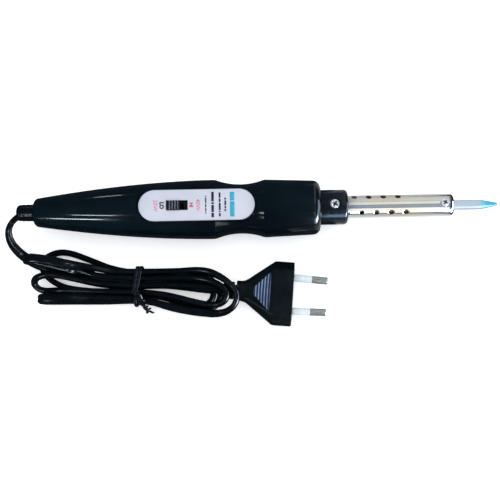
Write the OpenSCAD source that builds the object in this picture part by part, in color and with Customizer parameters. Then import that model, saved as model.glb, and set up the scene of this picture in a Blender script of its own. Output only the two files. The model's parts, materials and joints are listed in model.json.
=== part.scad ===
// Two-power soldering iron with a slide switch, a perforated barrel and a tied flat lead.
// The iron lies along X with its tip at +X. Z is up, and Z = 0 is the surface it rests on.

/* [Handle] */
// Length of the handle, without the cord gland
handle_l = 157; // [155:1:160]
// Largest radius of the handle, at the end of its long taper
handle_r = 16.3; // [16:0.1:16.6]
// Thickness of the handle's walls
wall = 2.2; // [1.8:0.1:2.4]
// Radius at the bottom of the finger waist
waist_r = 13.56; // [13.2:0.1:14]

/* [Label and switch] */
// Length of the round-ended label
label_l = 62.6; // [60:0.1:63]
// Width of the label
label_w = 17.2; // [16:0.1:19]
// Thickness of the label plate
label_t = 0.8; // [0.5:0.1:1]
// Length of the switch window
window_l = 11.6; // [11:0.1:12]
// Width of the switch window
window_w = 5.4; // [5:0.1:6]
// Travel of the switch button from LO to HI
switch_travel = 4; // [3.5:0.1:4.1]

/* [Nose] */
// Outer radius of the plastic collar
collar_r = 9.6; // [9:0.1:9.6]
// Outer radius of the steel barrel
barrel_r = 6.2; // [6.2:0.1:6.4]
// Thickness of the barrel's sheet
barrel_wall = 0.5; // [0.4:0.1:0.5]
// Radius of one vent hole
vent_r = 1.5; // [1:0.1:1.7]
// Distance between vent holes in a row
vent_pitch = 8; // [7:0.5:8]

/* [Tip] */
// Radius of the tip's shank
tip_r = 2.75; // [2.5:0.05:2.75]
// Clearance between the shank and the socket's bore
tip_fit = 0.05; // [0.03:0.01:0.1]
// Length of the tip's cone
cone_l = 9.5; // [8:0.5:12]

/* [Cord and plug] */
// Width of the flat cord
cord_w = 5.4; // [5:0.1:5.4]
// Thickness of the flat cord
cord_t = 3.3; // [3:0.1:3.4]
// Width of the plug at its front face
plug_w = 35.2; // [34:0.1:35.5]
// Thickness of the plug
plug_t = 13.7; // [13:0.1:13.7]
// Distance between the plug's pins where they leave its face
pin_spacing = 18.6; // [18:0.1:19]

/* [Hidden] */
$fn = 64;
EPS = 0.01;

// Places along X
rear_x = -122.5;
front_x = rear_x + handle_l;
axis_z = handle_r;
gland_x = -132;
collar_end = 49.5;
barrel_start = 24;
barrel_end = 107.5;
tip_end = 132;
tip_start = 62;
socket_start = 52;
socket_end = 105;
boss_start = 98;
heater_start = 60;
heater_end = 96;

// Handle outline, measured from the rear face
corner_s = 2.8;
corner_r = 4.6;
taper_r = 8;
taper_end = 98;
waist_from = 99.9;
waist_to = 126.6;
waist_rear_r = 16.2;
waist_front_r = 15.93;
drum_front_r = 14.9;
shoulder = 4;
nose_wall = 3.5;
split_z = axis_z;

// Label land and switch
label_x = -32.55;
land_h = 12.2;
bezel = 1;
bezel_h = 0.5;
floor_h = 10;
window_x = -43.1;
button_l = window_l - switch_travel - 0.2;
button_x = window_x - window_l / 2 + 0.1 + button_l / 2;
switch_l = 20;
switch_w = 9;
switch_h = 8;
switch_top = axis_z + floor_h;
terminal_pitch = 5;
terminal_bottom = 15;

// Fasteners
boss_rear = [-86.5, 6.6];
boss_front = [8.5, 10.3];
boss_r = 3;
screw_r = 1.25;
screw_fit = 0.05;
screw_seat = 8.5;
screw_l = 12.5;
head_r = 2.3;
collar_screw_x = 42.1;
collar_head_r = 2.65;
tip_screw_x = 102;
tip_screw_r = 1.45;
clamp_x = -96.5;
clamp_y = 5.2;

// Collar
collar_start = 20;
flange_from = 27.1;
flange_to = 30.9;
flange_r = 12;
rib_from = 24.5;
collar_fit = 0.05;

// Heater
socket_r = 4;
boss_ring_r = 5.65;
lead_y = 4.85;
lead_r = 0.4;
crimp_from = 6;
crimp_to = 16;

// Vent rows: angle from the top, place of the first hole, number of holes
vent_rows = [[45, 49, 5], [135, 53, 4], [-45, 53, 4], [-135, 49, 5]];

// Plug, in its own frame: its front face is at 0 and its pins point along its X
plug_at = [18.8, -46.7];
plug_turn = -5;
plug_z = plug_t / 2;
plug_straight = 10.6;
plug_neck = 26.6;
plug_back = 31.1;
neck_w = 10.9;
neck_t = 8.6;
relief_from = 32.2;
relief_end = 38.6;
pin_l = 19;
sleeve_l = 10;
pin_r = 2;
pin_core_r = 1.5;
sleeve_r = pin_r;
pin_lean = 1.66;

// Hank and tie
hank_h = 11.4;
bridge_h = 5.4;
lead_end_x = -122;
fold_z = 7.6;
tie_x = -66.5;
tie_w = 3;
tie_t = 1;

// The lead's centreline from the gland to the hank, and how far its width turns up from level
LEAD = [
    [-132, 0, 16.3, 90], [-134.6, -0.8, 16.1, 90], [-137, -2.8, 15.4, 85],
    [-138.7, -6, 14.2, 80], [-139.3, -9.8, 12.5, 75], [-138.9, -13.6, 10.5, 65],
    [-137.6, -17.3, 8.4, 55], [-135.4, -20.8, 6.4, 45], [-132.6, -23.9, 4.6, 35],
    [-129.4, -26.6, 3.1, 25], [-125.8, -28.9, 2.1, 10], [-122, -30.2, 1.7, 0]
];

// Outline of the tied hank, clockwise from its upper left fold
HANK = [
    [-130, -20.5], [-109, -20], [-96, -24], [-84, -28], [-69, -31], [-46, -31.5], [-34, -31],
    [-26, -32], [-20, -35.5], [-17.5, -40], [-17.5, -50], [-22, -56], [-30, -58], [-38, -58],
    [-48, -56], [-60, -52], [-69, -50], [-99, -48.6], [-122, -49], [-122, -43.6], [-125, -43],
    [-125, -33.6], [-122, -33.6], [-122, -26.4], [-130, -26]
];

// Outline of the loops that pass over the plug's strain relief
BRIDGE = [
    [-34, -31.6], [-24, -32.8], [-16, -37], [-11, -43], [-11, -50], [-15, -55], [-24, -57.4],
    [-34, -57.6]
];

// Routes of the wires inside the handle
LIVE_IN = [
    [-90.9, -1.35, 16.3], [-84, -1.8, 15.4], [-74, -2.6, 13.6], [-62, -4.6, 12.6],
    [-51, -5.8, 13.4], [-44.6, -4.6, 15.2], [-43.1, -2.4, 15.9], [-43.1, -0.4, 16]
];
LIVE_OUT = [
    [-38.1, -0.4, 16], [-38.1, -2.4, 15.9], [-36.4, -4.6, 15.2], [-30, -6, 14], [-16, -6, 13.6],
    [-4, -5.2, 15.4], [6.2, -4.85, 16.3], [10.8, -4.85, 16.3]
];
NEUTRAL = [
    [-90.9, 1.35, 16.3], [-84, 1.8, 15.2], [-72, 4, 12.2], [-56, 6.2, 10.4], [-38, 6.8, 10],
    [-20, 6.4, 11.6], [-4, 5.2, 15], [6.2, 4.85, 16.3], [10.8, 4.85, 16.3]
];

// ---- Functions ----

function lerp(a, b, t) = a + (b - a) * t;
function unit(v) = v / norm(v);

// Points of a cubic curve
function curve(p, n) = [
    for (i = [0:n]) let (t = i / n, q = 1 - t)
        q * q * q * p[0] + 3 * q * q * t * p[1] + 3 * q * t * t * p[2] + t * t * t * p[3]
];

// Points of an arc about a centre
function arc(c, r, from, to, n) = [
    for (i = [0:n]) let (a = lerp(from, to, i / n)) [c[0] + r * cos(a), c[1] + r * sin(a)]
];

// Depth of the waist's circular cut, at a share t of its length
waist_half = (waist_to - waist_from) / 2;
waist_depth = (waist_rear_r + waist_front_r) / 2 - waist_r;
waist_arc = (waist_half * waist_half + waist_depth * waist_depth) / (2 * waist_depth);
function waist_cut(t) =
    sqrt(waist_arc * waist_arc - pow(waist_half * (2 * t - 1), 2)) - (waist_arc - waist_depth);

taper = curve([[corner_s, taper_r], [37.4, 13.3], [67, handle_r - 0.3], [taper_end, handle_r]], 20);
waist = [
    for (i = [0:12]) let (t = i / 12)
        [lerp(waist_from, waist_to, t), lerp(waist_rear_r, waist_front_r, t) - waist_cut(t)]
];

// Half outlines of the handle and of the room inside it
handle_outline = concat(
    [[0, 0]],
    [for (a = [0:22.5:67.5]) [corner_s * (1 - cos(a)), corner_r + (taper_r - corner_r) * sin(a)]],
    taper,
    waist,
    arc([handle_l - shoulder, drum_front_r - shoulder], shoulder, 90, 0, 6),
    [[handle_l, 0]]
);
cavity_outline = concat(
    [[wall, 0], [wall, taper_r - wall]],
    [for (p = taper) if (p[0] > corner_s + 1) [p[0], p[1] - wall]],
    [for (p = waist) [p[0], p[1] - wall]],
    [[handle_l - nose_wall, drum_front_r - wall - 0.6], [handle_l - nose_wall, 0]]
);

// Direction of a route at point i, with set directions at its ends
function heading(p, i, first, last) =
    i == 0 ? first : i == len(p) - 1 ? last : unit(p[i + 1] - p[i - 1]);

// A ring of the flat section about a point, its width turned up from level by tilt
function ring(at, dir, tilt, half_t, half_w, sides) =
    let (
        level = [0, cos(tilt), sin(tilt)],
        wide = unit(level - (level * dir) * dir),
        thin = cross(wide, dir)
    )
    [for (k = [0:sides - 1]) let (a = 360 * (k + 0.5) / sides)
        at + half_t * cos(a) / cos(180 / sides) * thin
           + half_w * sin(a) / cos(180 / sides) * wide];

// ---- Shared shapes ----

// Children built about Z are laid along X, starting at x on the iron's axis
module along(x) {
    translate([x, 0, axis_z]) rotate([0, 90, 0]) children();
}

module rod(from, to, r) {
    along(from) cylinder(h = to - from, r = r);
}

module pipe(from, to, outer, inner) {
    along(from) difference() {
        cylinder(h = to - from, r = outer);
        translate([0, 0, -1]) cylinder(h = to - from + 2, r = inner);
    }
}

// A turned shape from a half outline of [place along X, radius] points
module turned(points) {
    rotate([0, 90, 0]) rotate_extrude() polygon([for (p = points) [p[1], p[0]]]);
}

module racetrack(l, w) {
    straight = l - w;
    union() {
        square([straight, w], center = true);
        for (side = [-1, 1]) translate([side * straight / 2, 0]) circle(d = w);
    }
}

// A cross recess, cut down from z = 0
module cross_recess(r, depth) {
    for (a = [0, 90]) rotate(a)
        translate([-r, -r / 5, -depth]) cube([2 * r, 2 * r / 5, depth + 1]);
}

// A screw pointing along +Z, with the seat of its head at z = 0
module screw(r, length, cap_r, cap_h) {
    difference() {
        union() {
            cylinder(h = length, r = r);
            translate([0, 0, -cap_h]) cylinder(h = cap_h, r = cap_r);
        }
        translate([0, 0, -cap_h]) mirror([0, 0, 1]) cross_recess(cap_r * 0.6, cap_h * 0.6);
    }
}

// A closed tube along a route of [x, y, z] or [x, y, z, tilt] points
module tube(route, first, last, half_t, half_w, sides) {
    n = len(route);
    points = [for (p = route) [p[0], p[1], p[2]]];
    rings = [
        for (i = [0:n - 1]) let (tilt = is_undef(route[i][3]) ? 90 : route[i][3])
            each ring(points[i], heading(points, i, first, last), tilt, half_t, half_w, sides)
    ];
    walls = [
        for (i = [0:n - 2], k = [0:sides - 1])
            let (a = i * sides + k, b = i * sides + (k + 1) % sides)
                each [[a, b, b + sides], [a, b + sides, a + sides]]
    ];
    start = [for (k = [sides - 1:-1:0]) k];
    end = [for (k = [0:sides - 1]) (n - 1) * sides + k];
    polyhedron(rings, concat([start], walls, [end]), convexity = 8);
}

module at_bosses() {
    for (b = [boss_rear, boss_front], side = [-1, 1]) translate([b[0], side * b[1], 0]) children();
}

// ---- Handle ----

module land(extra, from, height) {
    translate([label_x, 0, axis_z + from]) linear_extrude(height)
        racetrack(label_l + 2 * extra, label_w + 2 * extra);
}

module handle_solid() {
    difference() {
        union() {
            translate([rear_x, 0, axis_z]) turned(handle_outline);
            land(bezel, 2, land_h + bezel_h - 2);
        }
        land(bezel, land_h + bezel_h, 6);
        land(0.1, land_h - label_t, 6);
    }
}

module handle_room() {
    difference() {
        translate([rear_x, 0, axis_z]) turned(cavity_outline);
        land(bezel, floor_h, 6);
        collar_rib();
        at_bosses() cylinder(h = 2 * axis_z, r = boss_r);
        clamp_saddle();
    }
}

// Ring that holds the collar's flange against the front wall
module collar_rib() {
    pipe(rib_from, flange_from - 0.1, handle_r, collar_r + collar_fit);
}

// Block under the cord that its clamp pulls against
module clamp_saddle() {
    translate([clamp_x - 3.5, -8, 0]) cube([7, 16, axis_z - cord_t / 2 - 0.05]);
}

module hollow_handle() {
    difference() {
        handle_solid();
        handle_room();
        rod(front_x - nose_wall - 1, front_x + 1, collar_r + collar_fit);
        rod(rear_x - 1, rear_x + wall + 1, 4.4);
    }
}

module half_space(top) {
    translate([rear_x - 5, -30, top ? split_z : split_z - 40]) cube([handle_l + 10, 60, 40]);
}

module upper_shell() {
    color([0.03, 0.07, 0.1]) difference() {
        intersection() {
            hollow_handle();
            half_space(true);
        }
        at_bosses() cylinder(h = screw_seat + screw_l + 0.5, r = screw_r + screw_fit);
        translate([window_x - window_l / 2, -window_w / 2, axis_z + floor_h - 1])
            cube([window_l, window_w, 4]);
    }
}

module lower_shell() {
    color([0.03, 0.07, 0.1]) difference() {
        intersection() {
            hollow_handle();
            half_space(false);
        }
        at_bosses() {
            cylinder(h = 30, r = screw_r + screw_fit);
            cylinder(h = screw_seat, r = head_r + 0.3);
        }
        for (side = [-1, 1]) translate([clamp_x, side * clamp_y, axis_z - 7.7])
            cylinder(h = 10, r = 1.05);
    }
}

module shell_screws() {
    color("silver") at_bosses() translate([0, 0, screw_seat])
        screw(screw_r, screw_l, head_r, 1.6);
}

// ---- Label and switch ----

module label_plate() {
    color([0.82, 0.84, 0.9]) difference() {
        land(0, land_h - label_t, label_t);
        translate([window_x - window_l / 2, -window_w / 2, axis_z + land_h - label_t - 1])
            cube([window_l, window_w, 4]);
    }
}

carriage_l = 6;
carriage_top = switch_top - 1.2;
carriage_bottom = carriage_top - 2.8;

module switch_slider() {
    rib_count = 5;
    rib_pitch = button_l / rib_count;
    top = axis_z + land_h + 0.7;
    color([0.05, 0.05, 0.06]) union() {
        translate([button_x - button_l / 2, -2.5, switch_top + 0.2])
            cube([button_l, 5, top - switch_top - 0.2]);
        for (i = [0:rib_count - 1])
            translate([button_x - button_l / 2 + i * rib_pitch, -2.5, top - EPS])
                cube([rib_pitch * 0.5, 5, 0.6]);
        translate([button_x - 1.5, -1.4, carriage_top - EPS])
            cube([3, 2.8, switch_top + 0.2 - carriage_top + 2 * EPS]);
        translate([button_x - carriage_l / 2, -2.8, carriage_bottom])
            cube([carriage_l, 5.6, carriage_top - carriage_bottom]);
    }
}

// Bridge that joins two neighbouring terminals
module switch_contact() {
    color("goldenrod") translate([button_x - carriage_l / 2, -2, carriage_bottom - 1.8])
        cube([carriage_l, 4, 1.8]);
}

module switch_body() {
    x = window_x;
    inner_l = switch_l - 3;
    color([0.25, 0.25, 0.27]) difference() {
        translate([x - switch_l / 2, -switch_w / 2, switch_top - switch_h])
            cube([switch_l, switch_w, switch_h]);
        translate([x - inner_l / 2, -3, switch_top - switch_h + 1.5])
            cube([inner_l, 6, switch_h - 2.5]);
        translate([button_x - 1.7, -1.6, switch_top - 2])
            cube([3.4 + switch_travel, 3.2, 4]);
        for (i = [-1:1]) translate([x + i * terminal_pitch - 0.85, -0.45, 0])
            cube([1.7, 0.9, switch_top - switch_h + 2]);
    }
}

module switch_terminals() {
    top = carriage_bottom - 2;
    color("goldenrod") for (i = [-1:1])
        translate([window_x + i * terminal_pitch - 0.8, -0.4, terminal_bottom])
            cube([1.6, 0.8, top - terminal_bottom]);
}

// Half-wave diode that halves the power in the LO position
module power_diode() {
    z = 12;
    reach = terminal_pitch;
    color([0.15, 0.15, 0.15]) union() {
        translate([window_x - 2.6, 0, z]) rotate([0, 90, 0]) cylinder(h = 5.2, r = 1.35);
        translate([window_x - reach, 0, z]) rotate([0, 90, 0]) cylinder(h = 2 * reach, r = 0.3);
        for (side = [-1, 1]) translate([window_x + side * reach, 0, z - 0.5])
            cylinder(h = terminal_bottom - z + 0.5, r = 0.35);
    }
}

// ---- Nose ----

module nose_collar() {
    round_r = 2;
    outline = concat(
        [[collar_start, barrel_r + 0.02], [collar_start, collar_r], [flange_from, collar_r],
         [flange_from, flange_r], [flange_to, flange_r], [flange_to, collar_r]],
        arc([collar_end - round_r, collar_r - round_r], round_r, 90, 0, 6),
        [[collar_end, barrel_r + 0.02]]
    );
    color([0.05, 0.12, 0.16]) difference() {
        translate([0, 0, axis_z]) turned(outline);
        for (a = [0, 180]) translate([collar_screw_x, 0, axis_z]) rotate([a, 0, 0]) {
            cylinder(h = 12, r = screw_r + screw_fit);
            translate([0, 0, 7.6]) cylinder(h = 5, r = collar_head_r + 0.1);
        }
    }
}

module collar_screws() {
    color("silver") for (a = [0, 180]) translate([collar_screw_x, 0, axis_z]) rotate([a, 0, 0])
        translate([0, 0, 7.6]) mirror([0, 0, 1]) screw(screw_r, 2.6, collar_head_r, 1.8);
}

module barrel() {
    lip_r = 3.6;
    inner = barrel_r - barrel_wall;
    nose = 1.9;
    outline = [
        [barrel_start, inner], [barrel_start, barrel_r], [barrel_end - nose, barrel_r],
        [barrel_end, barrel_r - nose], [barrel_end, lip_r], [barrel_end - barrel_wall, lip_r],
        [barrel_end - barrel_wall, barrel_r - nose - 0.2], [barrel_end - nose - 0.2, inner]
    ];
    color([0.8, 0.8, 0.82]) difference() {
        translate([0, 0, axis_z]) turned(outline);
        for (row = vent_rows, i = [0:row[2] - 1])
            translate([row[1] + i * vent_pitch, 0, axis_z]) rotate([row[0], 0, 0])
                cylinder(h = barrel_r + 1, r = vent_r);
        for (a = [0, 180]) translate([collar_screw_x, 0, axis_z]) rotate([a, 0, 0])
            cylinder(h = 10, r = screw_r + screw_fit);
        translate([tip_screw_x, 0, axis_z]) cylinder(h = 10, r = tip_screw_r + 0.05);
    }
}

module tip_socket() {
    color([0.7, 0.6, 0.35]) difference() {
        union() {
            rod(socket_start, socket_end, socket_r);
            rod(boss_start, socket_end, boss_ring_r);
        }
        rod(socket_start + 2, socket_end + 1, tip_r + tip_fit);
        translate([tip_screw_x, 0, axis_z]) cylinder(h = 10, r = tip_screw_r + 0.05);
    }
}

module mica_sleeve() {
    color([0.8, 0.75, 0.6]) pipe(heater_start, heater_end, 4.35, 4.05);
}

// Resistance winding, drawn as one ridge for each pair of turns
module heater_coil() {
    turns = 18;
    pitch = (heater_end - heater_start) / turns;
    outline = concat(
        [[heater_start, 4.38]],
        [for (i = [0:turns - 1]) each [
            [heater_start + i * pitch, 4.5], [heater_start + (i + 0.25) * pitch, 4.7],
            [heater_start + (i + 0.75) * pitch, 4.7]
        ]],
        [[heater_end, 4.5], [heater_end, 4.38]]
    );
    color([0.5, 0.45, 0.42]) translate([0, 0, axis_z]) turned(outline);
}

module mica_wrap() {
    color([0.75, 0.68, 0.5]) pipe(heater_start, heater_end, 5.1, 4.75);
}

module at_leads() {
    for (side = [-1, 1]) translate([0, side * lead_y, 0]) children();
}

module ceramic_spacer() {
    color("white") difference() {
        pipe(50, 56, boss_ring_r, socket_r + 0.05);
        at_leads() rod(49, 57, lead_r + 0.05);
    }
}

module heater_leads() {
    color("silver") at_leads() rod(11.2, heater_start, lead_r);
}

module lead_sleeves() {
    color([0.9, 0.9, 0.85]) at_leads() pipe(crimp_to + 0.5, 49.8, 0.8, lead_r + 0.05);
}

module wire_joints() {
    color([0.75, 0.72, 0.7]) at_leads() pipe(crimp_from, crimp_to, 1.4, 0.85);
}

// ---- Wires and cord inside the handle ----

module wire(points, first, last) {
    tube(points, first, last, 0.75, 0.75, 8);
}

module live_wires() {
    color("saddlebrown") {
        wire(LIVE_IN, [1, 0, 0], [0, 1, 0]);
        wire(LIVE_OUT, [0, -1, 0], [1, 0, 0]);
    }
}

module neutral_wire() {
    color("royalblue") wire(NEUTRAL, [1, 0, 0], [1, 0, 0]);
}

module flat_section(extra) {
    racetrack(cord_w + 2 * extra, cord_t + 2 * extra);
}

// Inside the handle the cord lies flat, side by side cores
module cord_inner_sheath() {
    color([0.1, 0.1, 0.12]) translate([-119, 0, axis_z]) rotate([90, 0, 90])
        linear_extrude(28) flat_section(0);
}

module cord_clamp() {
    z = axis_z + cord_t / 2 + 0.05;
    color([0.2, 0.2, 0.22]) difference() {
        translate([clamp_x - 3, -7.2, z]) cube([6, 14.4, 1.5]);
        for (side = [-1, 1]) translate([clamp_x, side * clamp_y, z - 1]) cylinder(h = 4, r = 1.05);
    }
}

module cord_clamp_screws() {
    seat = axis_z + cord_t / 2 + 1.55;
    color("silver") for (side = [-1, 1]) translate([clamp_x, side * clamp_y, seat])
        mirror([0, 0, 1]) screw(1, 9.5, 1.8, 1.2);
}

module cord_gland() {
    body_r = 4.35;
    outline = [
        [gland_x, 0], [gland_x, 3.4], [gland_x + 0.3, 3.8], [gland_x + 1, 4.1],
        [gland_x + 2.2, 4.2], [gland_x + 2.4, 4], [gland_x + 3, 4], [gland_x + 3.2, 4.25],
        [gland_x + 4.4, 4.25], [gland_x + 4.6, 4.05], [gland_x + 5.2, 4.05],
        [gland_x + 5.4, 4.3], [rear_x, body_r], [rear_x + wall + 0.1, body_r],
        [rear_x + wall + 0.1, 5.5], [rear_x + wall + 2, 5.5], [rear_x + wall + 2, 0]
    ];
    color([0.02, 0.02, 0.03]) difference() {
        translate([0, 0, axis_z]) turned(outline);
        translate([-119, 0, axis_z]) rotate([90, 0, 90]) linear_extrude(5) flat_section(0.05);
    }
}

// ---- Tip ----

module soldering_tip() {
    outline = [
        [tip_start, 0], [tip_start, tip_r - 0.3], [tip_start + 0.3, tip_r],
        [tip_end - cone_l, tip_r], [tip_end - 0.8, 1], [tip_end - 0.2, 0.6], [tip_end, 0]
    ];
    color([0.45, 0.75, 0.85]) translate([0, 0, axis_z]) turned(outline);
}

module tip_screw() {
    color("silver") translate([tip_screw_x, 0, axis_z + barrel_r + 0.1]) mirror([0, 0, 1])
        screw(tip_screw_r, barrel_r + 0.1 - tip_r - 0.03, 2.2, 1.7);
}

// ---- Cord, hank and plug ----

module cord_lead() {
    color([0.03, 0.04, 0.06]) tube(LEAD, [-1, 0, 0], [1, 0, 0], cord_t / 2, cord_w / 2, 8);
}

module in_plug(x) {
    translate([plug_at[0], plug_at[1], plug_z]) rotate(plug_turn) translate([x, 0, 0]) children();
}

module cord_hank() {
    round_r = 1.5;
    color([0.03, 0.04, 0.06]) difference() {
        union() {
            linear_extrude(hank_h) offset(r = round_r) offset(delta = -round_r) polygon(HANK);
            translate([0, 0, hank_h - EPS]) linear_extrude(bridge_h)
                offset(r = round_r) offset(delta = -round_r) polygon(BRIDGE);
        }
        in_plug(-relief_end) translate([0, -7, 2 - plug_z]) cube([30, 14, hank_h - 2]);
        translate([lead_end_x - 10, -33.5, -1]) cube([10, 14.5, fold_z + 1]);
        difference() {
            translate([tie_x - tie_w / 2, -60, -1]) cube([tie_w, 40, hank_h + 2]);
            bundle_in_tie();
        }
    }
}

// The waist of the bundle, which the tie goes round
module bundle_in_tie() {
    translate([tie_x - tie_w, -49.8, tie_t]) cube([2 * tie_w, 17.7, hank_h - 2 * tie_t]);
}

module twist_tie() {
    half = tie_w / 2 - 0.1;
    color([0.05, 0.05, 0.06]) difference() {
        union() {
            translate([tie_x - half, -50.8, 0]) cube([2 * half, 20.4, hank_h + 0.3]);
            translate([tie_x, -46, hank_h]) rotate([0, 90, 90]) cylinder(h = 6, r = 1.2);
        }
        bundle_in_tie();
    }
}

module plug_outline() {
    w = plug_w / 2;
    n = neck_w / 2;
    polygon([
        [0, -w], [0, w], [-plug_straight, w], [-plug_neck, n], [-plug_neck, -n],
        [-plug_straight, -w]
    ]);
}

// Thick front with thin edges, sloping down to the neck behind
module plug_form() {
    edge_t = 5;
    bevel = 5;
    top_w = plug_w - 2 * bevel;
    in_plug(0) hull() {
        translate([0, 0, -edge_t / 2]) linear_extrude(edge_t) plug_outline();
        translate([-plug_straight, -top_w / 2, -plug_t / 2])
            cube([plug_straight - 0.8, top_w, plug_t]);
        translate([-plug_neck, 0, 0]) cube([1, neck_w - 2, neck_t], center = true);
    }
    in_plug(-plug_back) translate([0, -neck_w / 2, -neck_t / 2])
        cube([plug_back - plug_neck + 1, neck_w, neck_t]);
}

// Ribbed three-sided recess in the plug's slope, seen from above
module grip_recess() {
    near = -2;
    far = -11.4;
    near_h = 11;
    far_h = 1.8;
    rib = 0.8;
    rib_pitch = 1.7;
    difference() {
        polygon([[near, -near_h], [near, near_h], [far, far_h], [far, -far_h]]);
        for (i = [1:5]) translate([near - rib_pitch * i + rib / 2, -near_h])
            square([rib, 2 * near_h]);
    }
}

module plug_body() {
    slope = atan((plug_t - neck_t) / 2 / (plug_neck - plug_straight));
    depth = 1;
    color([0.07, 0.1, 0.13]) difference() {
        plug_form();
        for (face = [0, 180]) in_plug(0) rotate([face, 0, 0])
            translate([-plug_straight, 0, plug_t / 2]) rotate([0, -slope, 0])
                translate([0, 0, -depth]) linear_extrude(2 * depth) grip_recess();
        for (side = [-1, 1]) pin_place(side) translate([-9, 0, 0]) rotate([0, 90, 0])
            cylinder(h = 10, r = pin_core_r + 0.02);
    }
}

module pin_place(side) {
    in_plug(0) translate([0, side * pin_spacing / 2, 0]) rotate(-side * pin_lean) children();
}

module plug_pins() {
    round_r = 0.8;
    outline = concat(
        [[-8.9, 0], [-8.9, pin_core_r], [sleeve_l + 0.05, pin_core_r], [sleeve_l + 0.05, pin_r]],
        arc([pin_l - round_r, pin_r - round_r], round_r, 90, 0, 4),
        [[pin_l, 0]]
    );
    color("silver") for (side = [-1, 1]) pin_place(side) turned(outline);
}

module pin_sleeves() {
    color([0.9, 0.93, 0.95]) for (side = [-1, 1]) pin_place(side) rotate([0, 90, 0]) difference() {
        translate([0, 0, 0.25]) cylinder(h = sleeve_l - 0.2, r = sleeve_r);
        translate([0, 0, -1]) cylinder(h = sleeve_l + 2, r = pin_core_r + 0.02);
    }
}

module relief_block(from, to, w, t) {
    in_plug(-to) translate([0, -w / 2, -t / 2]) cube([to - from, w, t]);
}

module plug_strain_relief() {
    color([0.05, 0.07, 0.1]) union() {
        relief_block(relief_from, relief_from + 3, 9.6, 7.8);
        relief_block(relief_from + 3.8, relief_end, 8.4, 6.8);
        relief_block(plug_back, relief_end, 6.4, 4.6);
    }
}

upper_shell();
lower_shell();
shell_screws();
label_plate();
switch_slider();
switch_contact();
switch_body();
switch_terminals();
power_diode();
nose_collar();
collar_screws();
barrel();
tip_socket();
mica_sleeve();
heater_coil();
mica_wrap();
ceramic_spacer();
heater_leads();
lead_sleeves();
wire_joints();
live_wires();
neutral_wire();
cord_clamp();
cord_clamp_screws();
cord_gland();
cord_inner_sheath();
soldering_tip();
tip_screw();
cord_lead();
cord_hank();
twist_tie();
plug_body();
plug_strain_relief();
plug_pins();
pin_sleeves();
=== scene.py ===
import json
from math import atan, copysign, cos, dist, hypot, pi, radians, sin, sqrt, tan

import bmesh
import bpy
from mathutils import Matrix, Vector


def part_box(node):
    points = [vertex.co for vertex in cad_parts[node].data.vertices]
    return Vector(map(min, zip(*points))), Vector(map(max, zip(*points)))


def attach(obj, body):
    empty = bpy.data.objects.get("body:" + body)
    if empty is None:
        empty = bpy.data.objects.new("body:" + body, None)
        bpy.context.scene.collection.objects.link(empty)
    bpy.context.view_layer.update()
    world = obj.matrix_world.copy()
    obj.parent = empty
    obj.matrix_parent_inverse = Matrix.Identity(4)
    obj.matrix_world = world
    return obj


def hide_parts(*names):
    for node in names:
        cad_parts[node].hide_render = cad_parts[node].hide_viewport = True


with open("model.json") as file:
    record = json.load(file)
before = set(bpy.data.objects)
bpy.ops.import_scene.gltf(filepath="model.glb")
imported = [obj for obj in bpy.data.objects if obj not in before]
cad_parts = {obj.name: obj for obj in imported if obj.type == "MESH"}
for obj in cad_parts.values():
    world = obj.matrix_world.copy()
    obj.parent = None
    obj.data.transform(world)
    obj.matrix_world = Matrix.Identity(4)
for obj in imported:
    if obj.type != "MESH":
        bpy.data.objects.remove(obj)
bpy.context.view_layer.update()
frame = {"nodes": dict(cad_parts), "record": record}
MM = 0.001


# ---- Camera ----

def make_camera():
    """Looks down on the iron from its cord's side, tipped a little so that the tip rises."""
    target = Vector((-4.3, -22.3, 12.3)) * MM
    distance, elevation, roll = 480 * MM, radians(80), radians(1.08)
    back = Vector((0, -cos(elevation), sin(elevation)))
    level_up = Vector((0, sin(elevation), cos(elevation)))
    right = cos(roll) * Vector((1, 0, 0)) - sin(roll) * level_up
    up = back.cross(right)
    data = bpy.data.cameras.new("camera")
    data.lens, data.sensor_width = 62.8, 36
    data.clip_start, data.clip_end = 0.01, 10
    camera = bpy.data.objects.new("camera", data)
    turn = Matrix((right, up, back)).transposed()
    camera.matrix_world = Matrix.Translation(target + back * distance) @ turn.to_4x4()
    bpy.context.scene.collection.objects.link(camera)
    bpy.context.scene.camera = camera


make_camera()


# ---- Sizes taken from the frame, in millimetres ----

def turned(angle, axis):
    return Matrix.Rotation(angle, 4, axis)


def box_mm(node):
    low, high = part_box(node)
    return low / MM, high / MM


SHELL_LOW, SHELL_HIGH = box_mm("lower_shell")
AXIS_Z = SHELL_HIGH.z
REAR_X, FRONT_X = SHELL_LOW.x, SHELL_HIGH.x
HANDLE_L = FRONT_X - REAR_X
HANDLE_R = SHELL_HIGH.z - SHELL_LOW.z
ALONG_X = Matrix.Translation((0, 0, AXIS_Z)) @ turned(pi / 2, "Y")


# ---- Shapes: each is (points, faces), in millimetres ----

def lerp(a, b, t):
    return a + (b - a) * t


def smoothstep(t):
    return t * t * (3 - 2 * t)


def spline(points, steps):
    """A smooth curve through (x, y, z, ...) points, with steps samples from each to the next."""
    rows = [Vector(p) for p in points]
    rows = [2 * rows[0] - rows[1]] + rows + [2 * rows[-1] - rows[-2]]
    samples = []
    for i in range(1, len(rows) - 2):
        a, b, c, d = rows[i - 1:i + 3]
        spans = [sqrt(dist(p[:3], q[:3])) for p, q in ((a, b), (b, c), (c, d))]
        before, here, after = spans
        start = here * ((b - a) * (1 / before) - (c - a) * (1 / (before + here))) + (c - b)
        end = (c - b) - here * ((d - b) * (1 / (here + after)) - (d - c) * (1 / after))
        for k in range(steps):
            t = k / steps
            samples.append(
                b * (2 * t ** 3 - 3 * t * t + 1) + start * (t ** 3 - 2 * t * t + t)
                + c * (3 * t * t - 2 * t ** 3) + end * (t ** 3 - t * t)
            )
    samples.append(rows[-2].copy())
    return samples


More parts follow.
